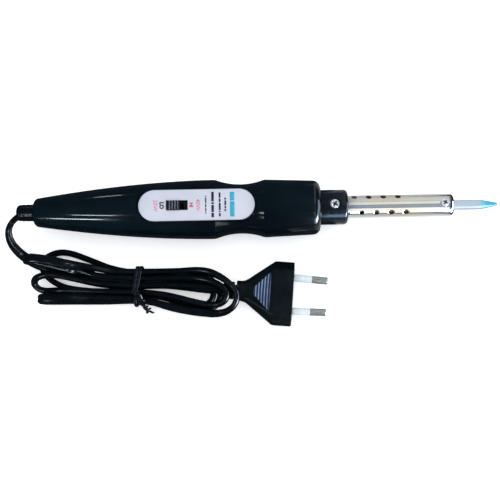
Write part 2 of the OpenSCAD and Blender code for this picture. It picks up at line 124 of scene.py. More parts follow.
def rounded(corners, steps=4):
    """A closed outline whose (a, b, size) corners turn smoothly over size on both sides."""
    points, count = [], len(corners)
    for i, corner in enumerate(corners):
        here, size = Vector(corner[:2]), corner[2] if len(corner) > 2 else 0
        if not size:
            points.append(here)
            continue
        before, after = Vector(corners[i - 1][:2]), Vector(corners[(i + 1) % count][:2])
        start = here + (before - here).normalized() * size
        end = here + (after - here).normalized() * size
        for k in range(steps + 1):
            t = k / steps
            points.append(start * (1 - t) ** 2 + here * (2 * t * (1 - t)) + end * t * t)
    return points


def loft(rings, closed=False):
    """Skin over rings that have equally many points, with capped ends unless it is closed."""
    sides, points, faces = len(rings[0]), [p for ring in rings for p in ring], []
    last = len(rings) if closed else len(rings) - 1
    for i in range(last):
        a0, b0 = i * sides, (i + 1) % len(rings) * sides
        for k in range(sides):
            j = (k + 1) % sides
            faces.append((a0 + k, a0 + j, b0 + j, b0 + k))
    if not closed:
        faces.append(tuple(range(sides - 1, -1, -1)))
        faces.append(tuple(range((len(rings) - 1) * sides, len(rings) * sides)))
    return points, faces


def lathe(outline, sides=96, place=ALONG_X, closed=False):
    """A turned shape from (along, radius) points; an open outline's ends are small flat discs."""
    turn = [(cos(2 * pi * k / sides), sin(2 * pi * k / sides))
            for k in range(sides)]
    rings = [[place @ Vector((max(r, 0.01) * c, max(r, 0.01) * s, along)) for c, s in turn]
             for along, r in outline]
    return loft(rings, closed)


def prism(outline, low, high, place=Matrix()):
    """An outline of (x, y) points, extruded from z = low to high."""
    return loft([[place @ Vector((p[0], p[1], z)) for p in outline] for z in (low, high)])


def block(low, high, place=Matrix()):
    (x0, y0, z0), (x1, y1, z1) = low, high
    return prism([(x0, y0), (x1, y0), (x1, y1), (x0, y1)], z0, z1, place)


def racetrack(centre_x, length, width, steps=24):
    points, straight = [], (length - width) / 2
    for side in (1, -1):
        for i in range(steps + 1):
            angle = pi * (i / steps - 0.5)
            points.append((centre_x + side * (straight + width / 2 * cos(angle)),
                           side * width / 2 * sin(angle)))
    return points


def joined(parts):
    points, faces = [], []
    for part_points, part_faces in parts:
        faces += [tuple(i + len(points) for i in face) for face in part_faces]
        points += part_points
    return points, faces


def round_nose(end, radius, size, steps):
    """A quarter turn of size, from a side at radius to a face at end."""
    return [(end - size + size * sin(a), radius - size + size * cos(a))
            for a in (pi / (2 * steps) * i for i in range(steps + 1))]


def show(obj):
    bpy.context.scene.collection.objects.link(obj)
    return obj


def coat(obj, *materials):
    """Gives obj these materials alone."""
    obj.data.materials.clear()
    for material in materials:
        obj.data.materials.append(material)


def make(name, part):
    """A mesh object of a shape, in metres, its faces turned outwards."""
    mesh = bpy.data.meshes.new(name)
    mesh.from_pydata([Vector(p) * MM for p in part[0]], [], part[1])
    work = bmesh.new()
    work.from_mesh(mesh)
    bmesh.ops.recalc_face_normals(work, faces=work.faces)
    work.to_mesh(mesh)
    work.free()
    mesh.shade_smooth()
    return show(bpy.data.objects.new(name, mesh))


def taken(obj):
    """The shape of obj in millimetres; obj itself is removed."""
    part = [v.co / MM for v in obj.data.vertices], [tuple(f.vertices) for f in obj.data.polygons]
    bpy.data.objects.remove(obj)
    return part


def apply_modifiers(obj):
    shaped = bpy.data.meshes.new_from_object(
        obj.evaluated_get(bpy.context.evaluated_depsgraph_get())
    )
    obj.modifiers.clear()
    obj.data = shaped


def cut(obj, part, operation="DIFFERENCE"):
    """Cuts a shape out of obj, or joins or intersects the two."""
    tool = make("tool", part)
    modifier = obj.modifiers.new("cut", "BOOLEAN")
    modifier.operation, modifier.object, modifier.solver = operation, tool, "EXACT"
    apply_modifiers(obj)
    bpy.data.objects.remove(tool)


def soften_edges(obj, width, angle=30, segments=2):
    """Rounds the edges over width millimetres, and lets the large faces lead the shading."""
    work = bmesh.new()
    work.from_mesh(obj.data)
    bmesh.ops.remove_doubles(work, verts=work.verts, dist=0.03 * MM)
    work.to_mesh(obj.data)
    work.free()
    if width:
        bevel = obj.modifiers.new("edges", "BEVEL")
        bevel.width, bevel.segments = width * MM, segments
        bevel.angle_limit = radians(angle)
    obj.modifiers.new("normals", "WEIGHTED_NORMAL").keep_sharp = True
    apply_modifiers(obj)
    return obj


def finish_piece(obj, nodes, slot, body="iron"):
    """Rides obj on a body in place of its CAD nodes, in a finish of the record."""
    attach(obj, body)
    if nodes:
        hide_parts(*nodes)
    coat(obj, LOOKS[slot])
    return obj


# ---- Materials ----

def set_sockets(node, **values):
    """Sets a node's sockets, which have _ for each space in their names."""
    for socket, value in values.items():
        node.inputs[socket.replace("_", " ")].default_value = value
    return node


class Look:
    """A Principled material whose colour, roughness and surface vary over the object."""

    def __init__(self, name, color, roughness, metallic=0.0, **fixed):
        self.name = name
        self.material = bpy.data.materials.new(name)
        self.material.use_nodes = True
        self.material.diffuse_color = (*color, 1)
        self.tree = self.material.node_tree
        self.shader = self.tree.nodes["Principled BSDF"]
        set_sockets(self.shader, Base_Color=(*color, 1), Roughness=roughness, Metallic=metallic,
                    **fixed)
        self.place = self.node("TexCoord").outputs["Object"]

    def node(self, kind, **values):
        return set_sockets(self.tree.nodes.new("ShaderNode" + kind), **values)

    def link(self, source, target):
        self.tree.links.new(source, target)
        return self

    def noise(self, size, stretch=(1, 1, 1), detail=4.0, shift=0.0):
        """Noise with features of that many millimetres, drawn out along the axes by stretch."""
        mapping = self.node("Mapping", Scale=[1 / (size * MM * s) for s in stretch],
                            Location=(shift, 2 * shift, 3 * shift))
        noise = self.node("TexNoise", Scale=1, Detail=detail)
        self.link(self.place, mapping.inputs["Vector"])
        self.link(mapping.outputs["Vector"], noise.inputs["Vector"])
        return noise.outputs["Fac"]

    def along(self, start, end):
        """0 at start and 1 at end, in millimetres along X."""
        split = self.node("SeparateXYZ")
        self.link(self.place, split.inputs[0])
        return self.scaled(split.outputs["X"], start * MM, end * MM, 0, 1)

    def scaled(self, source, from_low, from_high, to_low, to_high):
        spread = self.node("MapRange", From_Min=from_low, From_Max=from_high, To_Min=to_low,
                           To_Max=to_high)
        self.link(source, spread.inputs["Value"])
        return spread.outputs["Result"]

    def total(self, a, b):
        node = self.node("Math")
        self.link(a, node.inputs[0])
        self.link(b, node.inputs[1])
        return node.outputs[0]

    def colors(self, source, stops):
        """Colours by source: stops are (position, colour)."""
        ramp = self.node("ValToRGB")
        elements = ramp.color_ramp.elements
        while len(elements) < len(stops):
            elements.new(0.5)
        for element, (position, color) in zip(elements, stops):
            element.position, element.color = position, (*color, 1)
        self.link(source, ramp.inputs[0])
        return self.link(ramp.outputs["Color"], self.shader.inputs["Base Color"])

    def mottle(self, low, high, size, stretch=(1, 1, 1)):
        """Two colours in patches of about size millimetres."""
        return self.colors(self.noise(size, stretch), [(0.36, low), (0.64, high)])

    def smears(self, low, high, size, stretch=(1, 1, 1)):
        """Roughness from low to high, in patches that lie apart from the colour's."""
        source = self.noise(size, stretch, detail=6.0, shift=7.3)
        value = self.scaled(source, 0.35, 0.65, low, high)
        return self.link(value, self.shader.inputs["Roughness"])

    def grain(self, height, size, stretch=(1, 1, 1), detail=4.0):
        """Raises the surface by noise, over height millimetres."""
        source = self.noise(size, stretch, detail)
        bump = self.node("Bump", Strength=1, Distance=height * MM)
        self.link(source, bump.inputs["Height"])
        before = self.shader.inputs["Normal"]
        if before.links:
            self.link(before.links[0].from_socket, bump.inputs["Normal"])
        return self.link(bump.outputs["Normal"], before)


def handle_plastic():
    look = Look("handle_plastic", (0.002, 0.0065, 0.0105), 0.12)
    look.mottle((0.001, 0.0038, 0.0066), (0.0024, 0.0078, 0.0122), 26, (2, 1, 1))
    look.smears(0.07, 0.15, 4, (5, 1, 1))
    look.grain(0.005, 4, detail=2)
    return look.grain(0.0005, 0.14, (40, 1, 1), 2)


def collar_plastic():
    look = Look("collar_plastic", (0.0016, 0.0055, 0.011), 0.18)
    look.mottle((0.0012, 0.0042, 0.0085), (0.0024, 0.0075, 0.015), 9)
    look.smears(0.14, 0.24, 2)
    look.grain(0.004, 1.1, detail=2)
    return look.grain(0.0015, 0.16, (1, 12, 12), 2)


def black_plastic():
    look = Look("black_plastic", (0.006, 0.0065, 0.008), 0.35)
    look.mottle((0.005, 0.0055, 0.007), (0.009, 0.0095, 0.011), 3)
    look.smears(0.28, 0.42, 1)
    return look.grain(0.006, 0.18)


def label_film():
    look = Look("label_film", (0.57, 0.585, 0.67), 0.34, Specular_IOR_Level=0.35)
    look.mottle((0.54, 0.565, 0.65), (0.6, 0.61, 0.69), 14)
    look.smears(0.28, 0.4, 6)
    look.grain(0.012, 5, detail=1)
    return look.grain(0.002, 0.3)


def barrel_chrome():
    look = Look("barrel_chrome", (0.84, 0.84, 0.85), 0.1, 1.0)
    patches = look.scaled(look.noise(7, (2.5, 1, 1)), 0.4, 0.6, -0.12, 0.12)
    heat = look.total(look.along(50, 108), patches)
    look.colors(heat, [
        (0.0, (0.8, 0.8, 0.81)), (0.45, (0.83, 0.8, 0.72)), (0.62, (0.86, 0.84, 0.79)),
        (0.85, (0.86, 0.87, 0.89)), (1.0, (0.83, 0.84, 0.88)),
    ])
    look.smears(0.07, 0.17, 2.2, (8, 1, 1))
    look.grain(0.01, 3.5, (6, 1, 1), 2)
    return look.grain(0.0006, 0.12, (60, 1, 1), 2)


def screw_steel():
    look = Look("screw_steel", (0.84, 0.85, 0.86), 0.3, 0.45)
    look.mottle((0.74, 0.75, 0.77), (0.9, 0.91, 0.92), 1.2)
    look.smears(0.2, 0.4, 0.7)
    return look.grain(0.004, 0.25)


def contact_brass():
    look = Look("contact_brass", (0.75, 0.55, 0.25), 0.25, 1.0)
    look.mottle((0.62, 0.43, 0.2), (0.8, 0.62, 0.32), 2.5)
    look.smears(0.18, 0.36, 1.5)
    return look.grain(0.001, 0.15, (20, 1, 1))


def mica():
    look = Look("mica", (0.03, 0.022, 0.016), 0.35, Coat_Weight=0.2)
    look.mottle((0.012, 0.009, 0.006), (0.06, 0.045, 0.03), 3, (1, 3, 3))
    look.smears(0.2, 0.45, 1.5)
    return look.grain(0.02, 0.8, (1, 4, 4))


def heater_wire():
    look = Look("heater_wire", (0.3, 0.26, 0.23), 0.4, 1.0)
    look.mottle((0.2, 0.16, 0.14), (0.42, 0.38, 0.34), 1.5)
    look.smears(0.3, 0.55, 1)
    return look.grain(0.004, 0.2, (1, 8, 8))


def white_ceramic():
    look = Look("white_ceramic", (0.16, 0.13, 0.1), 0.6)
    sooty = look.total(look.along(40, 46), look.scaled(look.noise(2), 0.35, 0.65, -0.2, 0.2))
    look.colors(sooty, [(0, (0.62, 0.59, 0.52)), (1, (0.07, 0.055, 0.045))])
    look.smears(0.5, 0.7, 1)
    return look.grain(0.01, 0.25, detail=6)


def glass_sleeving():
    look = Look("glass_sleeving", (0.8, 0.79, 0.74), 0.55, Sheen_Weight=0.3)
    look.mottle((0.66, 0.65, 0.6), (0.86, 0.85, 0.81), 0.5, (2, 1, 1))
    look.smears(0.45, 0.65, 1)
    return look.grain(0.04, 0.22, (2.5, 1, 1), 1)


def insulation(name, low, high):
    look = Look(name, high, 0.4)
    look.mottle(low, high, 4)
    look.smears(0.32, 0.48, 2)
    return look.grain(0.004, 0.4)


def tip_plating():
    look = Look("tip_plating", (0.44, 0.51, 0.6), 0.34, 0.05, Specular_IOR_Level=0.35)
    edge = look.scaled(look.noise(1.1, (2, 1, 1)), 0.3, 0.7, -0.05, 0.05)
    place = look.total(look.along(TIP_END - 1.45 * CONE_L, TIP_END), edge)
    look.colors(place, [
        (0.0, (0.44, 0.51, 0.6)), (0.26, (0.42, 0.51, 0.6)), (0.33, (0.2, 0.56, 0.68)),
        (0.6, (0.095, 0.41, 0.56)), (0.92, (0.07, 0.36, 0.55)), (1.0, (0.09, 0.38, 0.56)),
    ])
    look.smears(0.28, 0.42, 1.4, (3, 1, 1))
    look.grain(0.004, 0.5, (1, 6, 6), 2)
    return look.grain(0.002, 0.16)


def cord_pvc():
    look = Look("cord_pvc", (0.0011, 0.0028, 0.0055), 0.18)
    look.mottle((0.0007, 0.0017, 0.0034), (0.0018, 0.0044, 0.008), 16)
    look.smears(0.14, 0.24, 6)
    look.grain(0.02, 6, detail=1)
    return look.grain(0.0012, 0.3, (3, 1, 1), 2)


def plug_plastic():
    look = Look("plug_plastic", (0.0012, 0.0042, 0.0062), 0.32, Specular_IOR_Level=0.28)
    look.mottle((0.0008, 0.003, 0.0045), (0.0018, 0.0055, 0.008), 10)
    look.smears(0.28, 0.42, 3)
    return look.grain(0.01, 0.24, detail=5)


# Painted sheen: a lighter blue than the plug's body, standing for light caught by the recess's
# frosted surface, which is the same black plastic.
def plug_recess_sheen():
    look = Look("plug_recess_sheen", (0.012, 0.026, 0.07), 0.42)
    look.mottle((0.007, 0.017, 0.05), (0.02, 0.04, 0.095), 2.5)
    look.smears(0.36, 0.5, 1)
    return look.grain(0.008, 0.2)


# Painted highlight: a light grey-blue for the rib tops in the plug's recess, standing for the light
# that the black ribs catch.
def plug_rib_highlight():
    look = Look("plug_rib_highlight", (0.15, 0.22, 0.4), 0.36)
    look.mottle((0.09, 0.15, 0.31), (0.2, 0.28, 0.47), 3.5)
    look.smears(0.3, 0.44, 1)
    return look.grain(0.006, 0.2)


def pin_nickel():
    look = Look("pin_nickel", (0.6, 0.61, 0.59), 0.24, 0.72)
    look.mottle((0.48, 0.49, 0.47), (0.7, 0.71, 0.69), 0.8, (14, 1, 1))
    look.smears(0.14, 0.32, 0.6, (10, 1, 1))
    return look.grain(0.006, 0.3, (30, 1, 1), 2)


def sleeve_plastic():
    look = Look("sleeve_plastic", (0.76, 0.81, 0.84), 0.3, Subsurface_Weight=0.12,
                Subsurface_Scale=0.0008)
    look.mottle((0.7, 0.78, 0.83), (0.8, 0.86, 0.89), 3)
    look.smears(0.24, 0.38, 2)
    return look.grain(0.004, 0.5)


# A dark metal for the screws' crosses, which also paints shade along each head's low rim.
def screw_cross_and_rim_shade():
    look = Look("screw_cross_and_rim_shade", (0.05, 0.05, 0.055), 0.4, 0.5)
    look.mottle((0.03, 0.03, 0.034), (0.1, 0.1, 0.11), 0.6)
    look.smears(0.32, 0.5, 0.4)
    return look.grain(0.004, 0.2)


def tie_vinyl():
    look = Look("tie_vinyl", (0.005, 0.007, 0.012), 0.2)
    look.mottle((0.0035, 0.005, 0.0085), (0.008, 0.011, 0.018), 2)
    look.smears(0.14, 0.28, 1.5)
    return look.grain(0.006, 0.5)


# Painted highlight: a lighter grey-blue for the switch button's rib tops, standing for the light
# they catch.
def painted_ridge_highlight():
    look = Look("painted_ridge_highlight", (0.1, 0.11, 0.17), 0.3)
    look.mottle((0.05, 0.055, 0.09), (0.15, 0.16, 0.24), 0.8)
    look.smears(0.26, 0.4, 0.5)
    return look.grain(0.003, 0.15)


def ink(name, color):
    look = Look(name, color, 0.45)
    look.mottle([c * 0.85 for c in color], [min(1, c * 1.12) for c in color], 0.6)
    look.smears(0.38, 0.52, 0.8)
    return look.grain(0.001, 0.12)


def pale_floor():
    look = Look("pale_floor", (0.9, 0.9, 0.9), 0.75, Specular_IOR_Level=0.1,
                Emission_Color=(1, 1, 1, 1), Emission_Strength=0.42)
    look.mottle((0.89, 0.89, 0.895), (0.91, 0.91, 0.912), 90)
    look.smears(0.7, 0.8, 40)
    return look.grain(0.01, 1.5)


TIP_END, CONE_L = box_mm("soldering_tip")[1].x, 9.5
FINISHES = (
    handle_plastic(), collar_plastic(), black_plastic(), label_film(), barrel_chrome(),
    screw_steel(), contact_brass(), mica(), heater_wire(), white_ceramic(), glass_sleeving(),
    insulation("brown_insulation", (0.12, 0.045, 0.018), (0.2, 0.08, 0.035)),
    insulation("blue_insulation", (0.02, 0.09, 0.36), (0.045, 0.15, 0.5)),
    tip_plating(), cord_pvc(), plug_plastic(), pin_nickel(), sleeve_plastic(),
)
LOOKS = {look.name: look.material for look in FINISHES}
SCREW_CROSS_AND_RIM_SHADE, PAINTED_RIDGE_HIGHLIGHT = screw_cross_and_rim_shade().material, painted_ridge_highlight().material
TIE_VINYL = tie_vinyl().material

for subpart in frame["record"]["subparts"]:
    coat(frame["nodes"][subpart["node"]], LOOKS[subpart["material_slot"]])


# ---- Handle: two hollow shells, in places measured from the rear face ----

CORNER, TAPER_END, WAIST, NOSE_WALL = 2.8, 98, (99.9, 126.6), 3.5
WAIST_R, WAIST_END_R, DRUM_FRONT_R, SHOULDER = 13.56, (16.2, 15.93), 14.9, 4
WALL, REAR_BORE, COLLAR_R, ABOVE_Z = 2.2, 4.4, 9.6, AXIS_Z + 20
LABEL_LOW, LABEL_HIGH = box_mm("label_plate")
LABEL_X = (LABEL_LOW.x + LABEL_HIGH.x) / 2
LABEL_L, LABEL_W = LABEL_HIGH.x - LABEL_LOW.x, LABEL_HIGH.y - LABEL_LOW.y
BEZEL, BEZEL_H, LABEL_FIT = 1, 0.5, 0.1
WINDOW_X, WINDOW_L, WINDOW_W = -43.1, 11.6, 5.4
BOSSES = [(x, side * y) for x, y in ((-86.5, 6.6), (8.5, 10.3)) for side in (-1, 1)]
CLAMP_X, CLAMP_Y = -96.5, 5.2


def taper_curve(steps):
    a, b, c, d = [Vector(p) for p in ((CORNER, 8), (37.4, 13.3), (67, 16), (TAPER_END, HANDLE_R))]
    points = []
    for i in range(steps + 1):
        t = i / steps
        s = 1 - t
        points.append(a * s ** 3 + b * 3 * t * s ** 2 + c * 3 * t * t * s + d * t ** 3)
    return points


def waist_curve(steps):
    """A shallow arc between the taper and the drum."""
    half = (WAIST[1] - WAIST[0]) / 2
    depth = sum(WAIST_END_R) / 2 - WAIST_R
    radius = (half ** 2 + depth ** 2) / (2 * depth)
    points = []
    for i in range(steps + 1):
        t = i / steps
        sag = sqrt(radius ** 2 - (half * (2 * t - 1)) ** 2) - (radius - depth)
        points.append(Vector((lerp(*WAIST, t), lerp(*WAIST_END_R, t) - sag)))
    return points


def handle_outline():
    corner = [(CORNER * (1 - cos(a)), 4.6 + 3.4 * sin(a))
              for a in (pi / 16 * i for i in range(8))]
    waist = waist_curve(24)
    crease = 0.9
    waist[0], waist[-1] = (*waist[0], crease), (*waist[-1], crease)
    shoulder = round_nose(HANDLE_L, DRUM_FRONT_R, SHOULDER, 12)
    drum = [(lerp(WAIST[1], HANDLE_L - SHOULDER, t), lerp(WAIST_END_R[1], DRUM_FRONT_R, t))
            for t in (0.15, 0.3, 0.45, 0.6, 0.75, 0.9)]
    whole = [(0, 0)] + corner + taper_curve(40) + waist + drum + shoulder + [(HANDLE_L, 0)]
    return [(REAR_X + s, r) for s, r in rounded(whole)]


def room_tool():
    """The room inside the handle, less the parts moulded into it."""
    inner = [(p[0], p[1] - WALL) for p in taper_curve(20)[1:] + waist_curve(12)]
    outline = [(-1, 0), (-1, REAR_BORE), (WALL, REAR_BORE), (WALL, 8 - WALL)] + inner + [
        (HANDLE_L - NOSE_WALL, DRUM_FRONT_R - WALL - 0.6), (HANDLE_L - NOSE_WALL, COLLAR_R + 0.05),
        (HANDLE_L + 1, COLLAR_R + 0.05), (HANDLE_L + 1, 0)]
    room = make("room", lathe([(REAR_X + s, r) for s, r in outline], 64))
    rib_from, rib_to, floor_h, bore = 24.5, 27, 10, COLLAR_R + 0.05
    rib = [(rib_from, bore), (rib_from, 20), (rib_to, 20), (rib_to, bore)]
    kept = [lathe(rib, 64, closed=True),
            prism(racetrack(LABEL_X, LABEL_L + 2 * BEZEL, LABEL_W + 2 * BEZEL),
                  AXIS_Z + floor_h, ABOVE_Z),
            block((CLAMP_X - 3.5, -8, 0), (CLAMP_X + 3.5, 8, AXIS_Z - 1.7))]
    kept += [lathe([(-1, 3), (2 * AXIS_Z + 1, 3)], 32, Matrix.Translation((x, y, 0)))
             for x, y in BOSSES]
    cut(room, joined(kept))
    return taken(room)


def screw_holes():
    """Wells with pilot holes for the shells' screws, and the cord clamp's two blind holes."""
    well = [(-1, 2.6), (8.5, 2.6), (8.5, 1.3), (21.5, 1.3)]
    blind = [(8.6, 1.05), (18.6, 1.05)]
    holes = [lathe(well, 32, Matrix.Translation((x, y, 0))) for x, y in BOSSES]
    holes += [lathe(blind, 24, Matrix.Translation((CLAMP_X, side * CLAMP_Y, 0)))
              for side in (-1, 1)]
    return joined(holes)


def window(low, high):
    """The switch's opening, from z = low to high."""
    return block((WINDOW_X - WINDOW_L / 2, -WINDOW_W / 2, low),
                 (WINDOW_X + WINDOW_L / 2, WINDOW_W / 2, high))


def make_handle():
    """Turned outside, label land with its bezel, hollow inside, and parted at mid height."""
    body = make("handle", lathe(handle_outline(), 144))
    bezel_top = LABEL_HIGH.z + BEZEL_H
    outside = racetrack(LABEL_X, LABEL_L + 2 * BEZEL, LABEL_W + 2 * BEZEL)
    inside = racetrack(LABEL_X, LABEL_L + 2 * LABEL_FIT, LABEL_W + 2 * LABEL_FIT)
    cut(body, prism(outside, AXIS_Z + 2, bezel_top), "UNION")
    cut(body, prism(outside, bezel_top, ABOVE_Z))
    cut(body, prism(inside, LABEL_LOW.z, ABOVE_Z))
    cut(body, room_tool())
    cut(body, screw_holes())
    cut(body, window(AXIS_Z + 9, LABEL_HIGH.z + 1))
    lower = show(body.copy())
    lower.data = body.data.copy()
    reach, parting = 30, 0.03
    for obj, name, low, high in ((body, "upper_handle", AXIS_Z + parting, AXIS_Z + reach),
                                 (lower, "lower_handle", AXIS_Z - reach, AXIS_Z - parting)):
        obj.name = name
        cut(obj, block((REAR_X - 5, -reach, low), (FRONT_X + 5, reach, high)), "INTERSECT")
        soften_edges(obj, 0.22, 28)
    finish_piece(body, ["upper_shell"], "handle_plastic")
    finish_piece(lower, ["lower_shell"], "handle_plastic")


make_handle()


# ---- Screws ----

COLLAR_SEAT = 7.6


def screw(shank_r, length, head_r, head_h, place):
    """A cross-head screw along place's +Z, its head's seat at z = 0, with a threaded shank.

    The faces of its cross and of its head's low rim have material index 1: a dark finish in the
    cross, and painted shade along the low rim."""
    dome = [(-head_h * cos(a),
             head_r * (0.72 + 0.28 * sin(a)) * min(1, 3 * sin(a) + 0.01))
            for a in (pi / 16 * i for i in range(9))]
    outline = [(-head_h, 0), (-head_h * 0.985, head_r * 0.45)]
    outline += [(z, r) for z, r in dome[2:-1]] + [(0, head_r), (0, shank_r)]
    turns = max(2, int(length / 0.6))
    pitch = (length - 0.4) / turns
    for i in range(turns):
        z = 0.3 + i * pitch
        outline += [(z, shank_r * 0.8), (z + pitch / 2, shank_r)]
    outline += [(length - 0.1, shank_r * 0.8), (length, shank_r * 0.55), (length, 0)]
    obj = make("screw", lathe(outline, 40, Matrix()))
    arm, width, depth, cross_turn = head_r * 0.6, head_r * 0.19, head_h * 0.62, 0.6
    for quarter in (0, pi / 2):
        turn = turned(quarter + cross_turn, "Z")
        floor = [(-arm * 0.45, -width * 0.8), (arm * 0.45, -width * 0.8),
                 (arm * 0.45, width * 0.8), (-arm * 0.45, width * 0.8)]
        mouth = [(-arm, -width), (arm, -width), (arm, width), (-arm, width)]
        levels = ((mouth, -head_h - 0.5), (mouth, -head_h * 0.96), (floor, depth - head_h))
        cut(obj, loft([[turn @ Vector((x, y, z)) for x, y in shape] for shape, z in levels]))
    soften_edges(obj, 0.05, 40, 1)
    for face in obj.data.polygons:
        x, y, z = face.center / MM
        inner = hypot(x, y) < arm * 1.05 and -head_h * 0.93 < z < 0
        # Painted shade: the head's low rim takes the dark material, as if shadowed where it meets
        # the surface.
        low_rim = -head_h * 0.22 < z < 0.05 and hypot(x, y) > shank_r * 1.05
        face.material_index = int(inner or low_rim)
    obj.data.transform(Matrix.Scale(MM, 4) @ place @ Matrix.Scale(1 / MM, 4))
    return obj


def combine(name, objects):
    """One object of several solids."""
    work = bmesh.new()
    for obj in objects:
        work.from_mesh(obj.data)
    mesh = bpy.data.meshes.new(name)
    work.to_mesh(mesh)
    work.free()
    for obj in objects:
        bpy.data.objects.remove(obj)
    mesh.shade_smooth()
    return soften_edges(show(bpy.data.objects.new(name, mesh)), 0)


def finish_screws(obj, node, body="iron"):
    """Finishes screws and keeps which material each face has, which a new coat resets."""
    cross_and_rim_shade = [face.material_index for face in obj.data.polygons]
    finish_piece(obj, [node], "screw_steel", body)
    coat(obj, LOOKS["screw_steel"], SCREW_CROSS_AND_RIM_SHADE)
    for face, index in zip(obj.data.polygons, cross_and_rim_shade):
        face.material_index = index


def make_screws():
    head_h = 1.6
    seat = box_mm("shell_screws")[0].z + head_h
    up = [screw(1.25, 12.5, 2.3, head_h, Matrix.Translation((x, y, seat))) for x, y in BOSSES]
    finish_screws(combine("handle_screws", up), "shell_screws")
    collar_low, collar_high = box_mm("collar_screws")
    centre = (collar_low + collar_high) / 2
    inwards = [
        screw(1.25, 2.6, 2.65, 1.8, Matrix.Translation((centre.x, 0, AXIS_Z))
              @ turned(turn, "X") @ Matrix.Translation((0, 0, -COLLAR_SEAT)))
        for turn in (0, pi)
    ]
    finish_screws(combine("nose_screws", inwards), "collar_screws")
    tip_low, tip_high = box_mm("tip_screw")
    head_h = 1.7
    place = Matrix.Translation(((tip_low.x + tip_high.x) / 2, 0, tip_high.z - head_h))
    upside_down = place @ turned(pi, "X")
    obj = screw(1.45, tip_high.z - head_h - tip_low.z, 2.2, head_h, upside_down)
    obj.name = "tip_set_screw"
    finish_screws(obj, "tip_screw", "tip_screw")


make_screws()


# ---- Collar, barrel and tip ----

BARREL_LOW, BARREL_HIGH = box_mm("barrel")
BARREL_R = (BARREL_HIGH.y - BARREL_LOW.y) / 2
COLLAR_LOW, COLLAR_HIGH = box_mm("nose_collar")
VENT_ROWS = ((45, 49, 5), (135, 53, 4), (-45, 53, 4), (-135, 49, 5))
VENT_R, VENT_PITCH = 1.5, 8
COLLAR_SCREW_X, TIP_SCREW_X = 42.1, 102


def radial(x, degrees):
    """From the iron's axis at x, outwards at an angle from the top."""
    return Matrix.Translation((x, 0, AXIS_Z)) @ turned(radians(degrees), "X")


def make_collar():
    flange_r, flange_from, flange_to, front_round = 12, 27.1, 30.9, 2
    start, end = COLLAR_LOW.x, COLLAR_HIGH.x
    bore = BARREL_R + 0.02
    front = round_nose(end, COLLAR_R, front_round, 8)
    outline = [(start, bore), (start, COLLAR_R), (flange_from, COLLAR_R), (flange_from, flange_r),
               (flange_to, flange_r), (flange_to, COLLAR_R)]
    outline += [(lerp(flange_to, end - front_round, t / 8), COLLAR_R) for t in range(1, 8)]
    collar = make("nose_collar_piece", lathe(outline + front + [(end, bore)], 128, closed=True))
    for turn in (0, 180):
        cut(collar, lathe([(0, 1.3), (COLLAR_SEAT, 1.3), (COLLAR_SEAT, 2.75), (14, 2.75)], 40,
                          radial(COLLAR_SCREW_X, turn)))
    soften_edges(collar, 0.16)
    finish_piece(collar, ["nose_collar"], "collar_plastic")


def make_barrel():
    wall, nose, lip_r = 0.5, 1.9, 3.6
    start, end, inner = BARREL_LOW.x, BARREL_HIGH.x, BARREL_R - 0.5
    count = int((end - nose - start) / 1.2)
    outer = [(lerp(start, end - nose, i / count), BARREL_R) for i in range(count + 1)]
    turn = round_nose(end, BARREL_R, nose, 8)[1:]
    inside = [(end, lip_r), (end - wall, lip_r), (end - wall, BARREL_R - nose - 0.2),
              (end - nose - 0.2, inner)]
    back = [(lerp(end - nose - 0.2, start, i / 24), inner) for i in range(1, 25)]
    barrel = make("barrel_tube", lathe(outer + turn + inside + back, 160, closed=True))
    holes = [lathe([(3, VENT_R), (BARREL_R + 2, VENT_R)], 32, radial(first + i * VENT_PITCH, angle))
             for angle, first, number in VENT_ROWS for i in range(number)]
    holes += [lathe([(3, 1.3), (BARREL_R + 2, 1.3)], 24, radial(COLLAR_SCREW_X, turn))
              for turn in (0, 180)]
    holes.append(lathe([(3, 1.5), (BARREL_R + 2, 1.5)], 24, radial(TIP_SCREW_X, 0)))
    cut(barrel, joined(holes))
    soften_edges(barrel, 0.12, 40)
    finish_piece(barrel, ["barrel"], "barrel_chrome")


def make_tip():
    """A plain shank and a straight coated cone with a small blunt end."""
    low, high = box_mm("soldering_tip")
    radius = (high.y - low.y) / 2
    outline = rounded([(low.x, 0), (low.x, radius, 0.3), (high.x - CONE_L, radius, 0.7),
                       (high.x - 0.35, 0.95, 0.3), (high.x, 0.6, 0.12), (high.x, 0)])
    shank = [(lerp(low.x + 1, high.x - CONE_L - 1.5, i / 10), radius) for i in range(11)]
    split = max(i for i, p in enumerate(outline) if p[0] < low.x + 1) + 1
    outline = [tuple(p) for p in outline]
    tip = make("tip_bit", lathe(outline[:split] + shank + outline[split:], 96))
    soften_edges(tip, 0)
    finish_piece(tip, ["soldering_tip"], "tip_plating", "tip")


make_collar()
make_barrel()
make_tip()


# ---- Label, its marks and the switch button ----

def make_label():
    outline = racetrack(LABEL_X, LABEL_L, LABEL_W, 32)
    plate = make("label", prism(outline, LABEL_LOW.z, LABEL_HIGH.z))
    cut(plate, window(LABEL_LOW.z - 1, LABEL_HIGH.z + 1))
    soften_edges(plate, 0.14, 50)
    finish_piece(plate, ["label_plate"], "label_film")


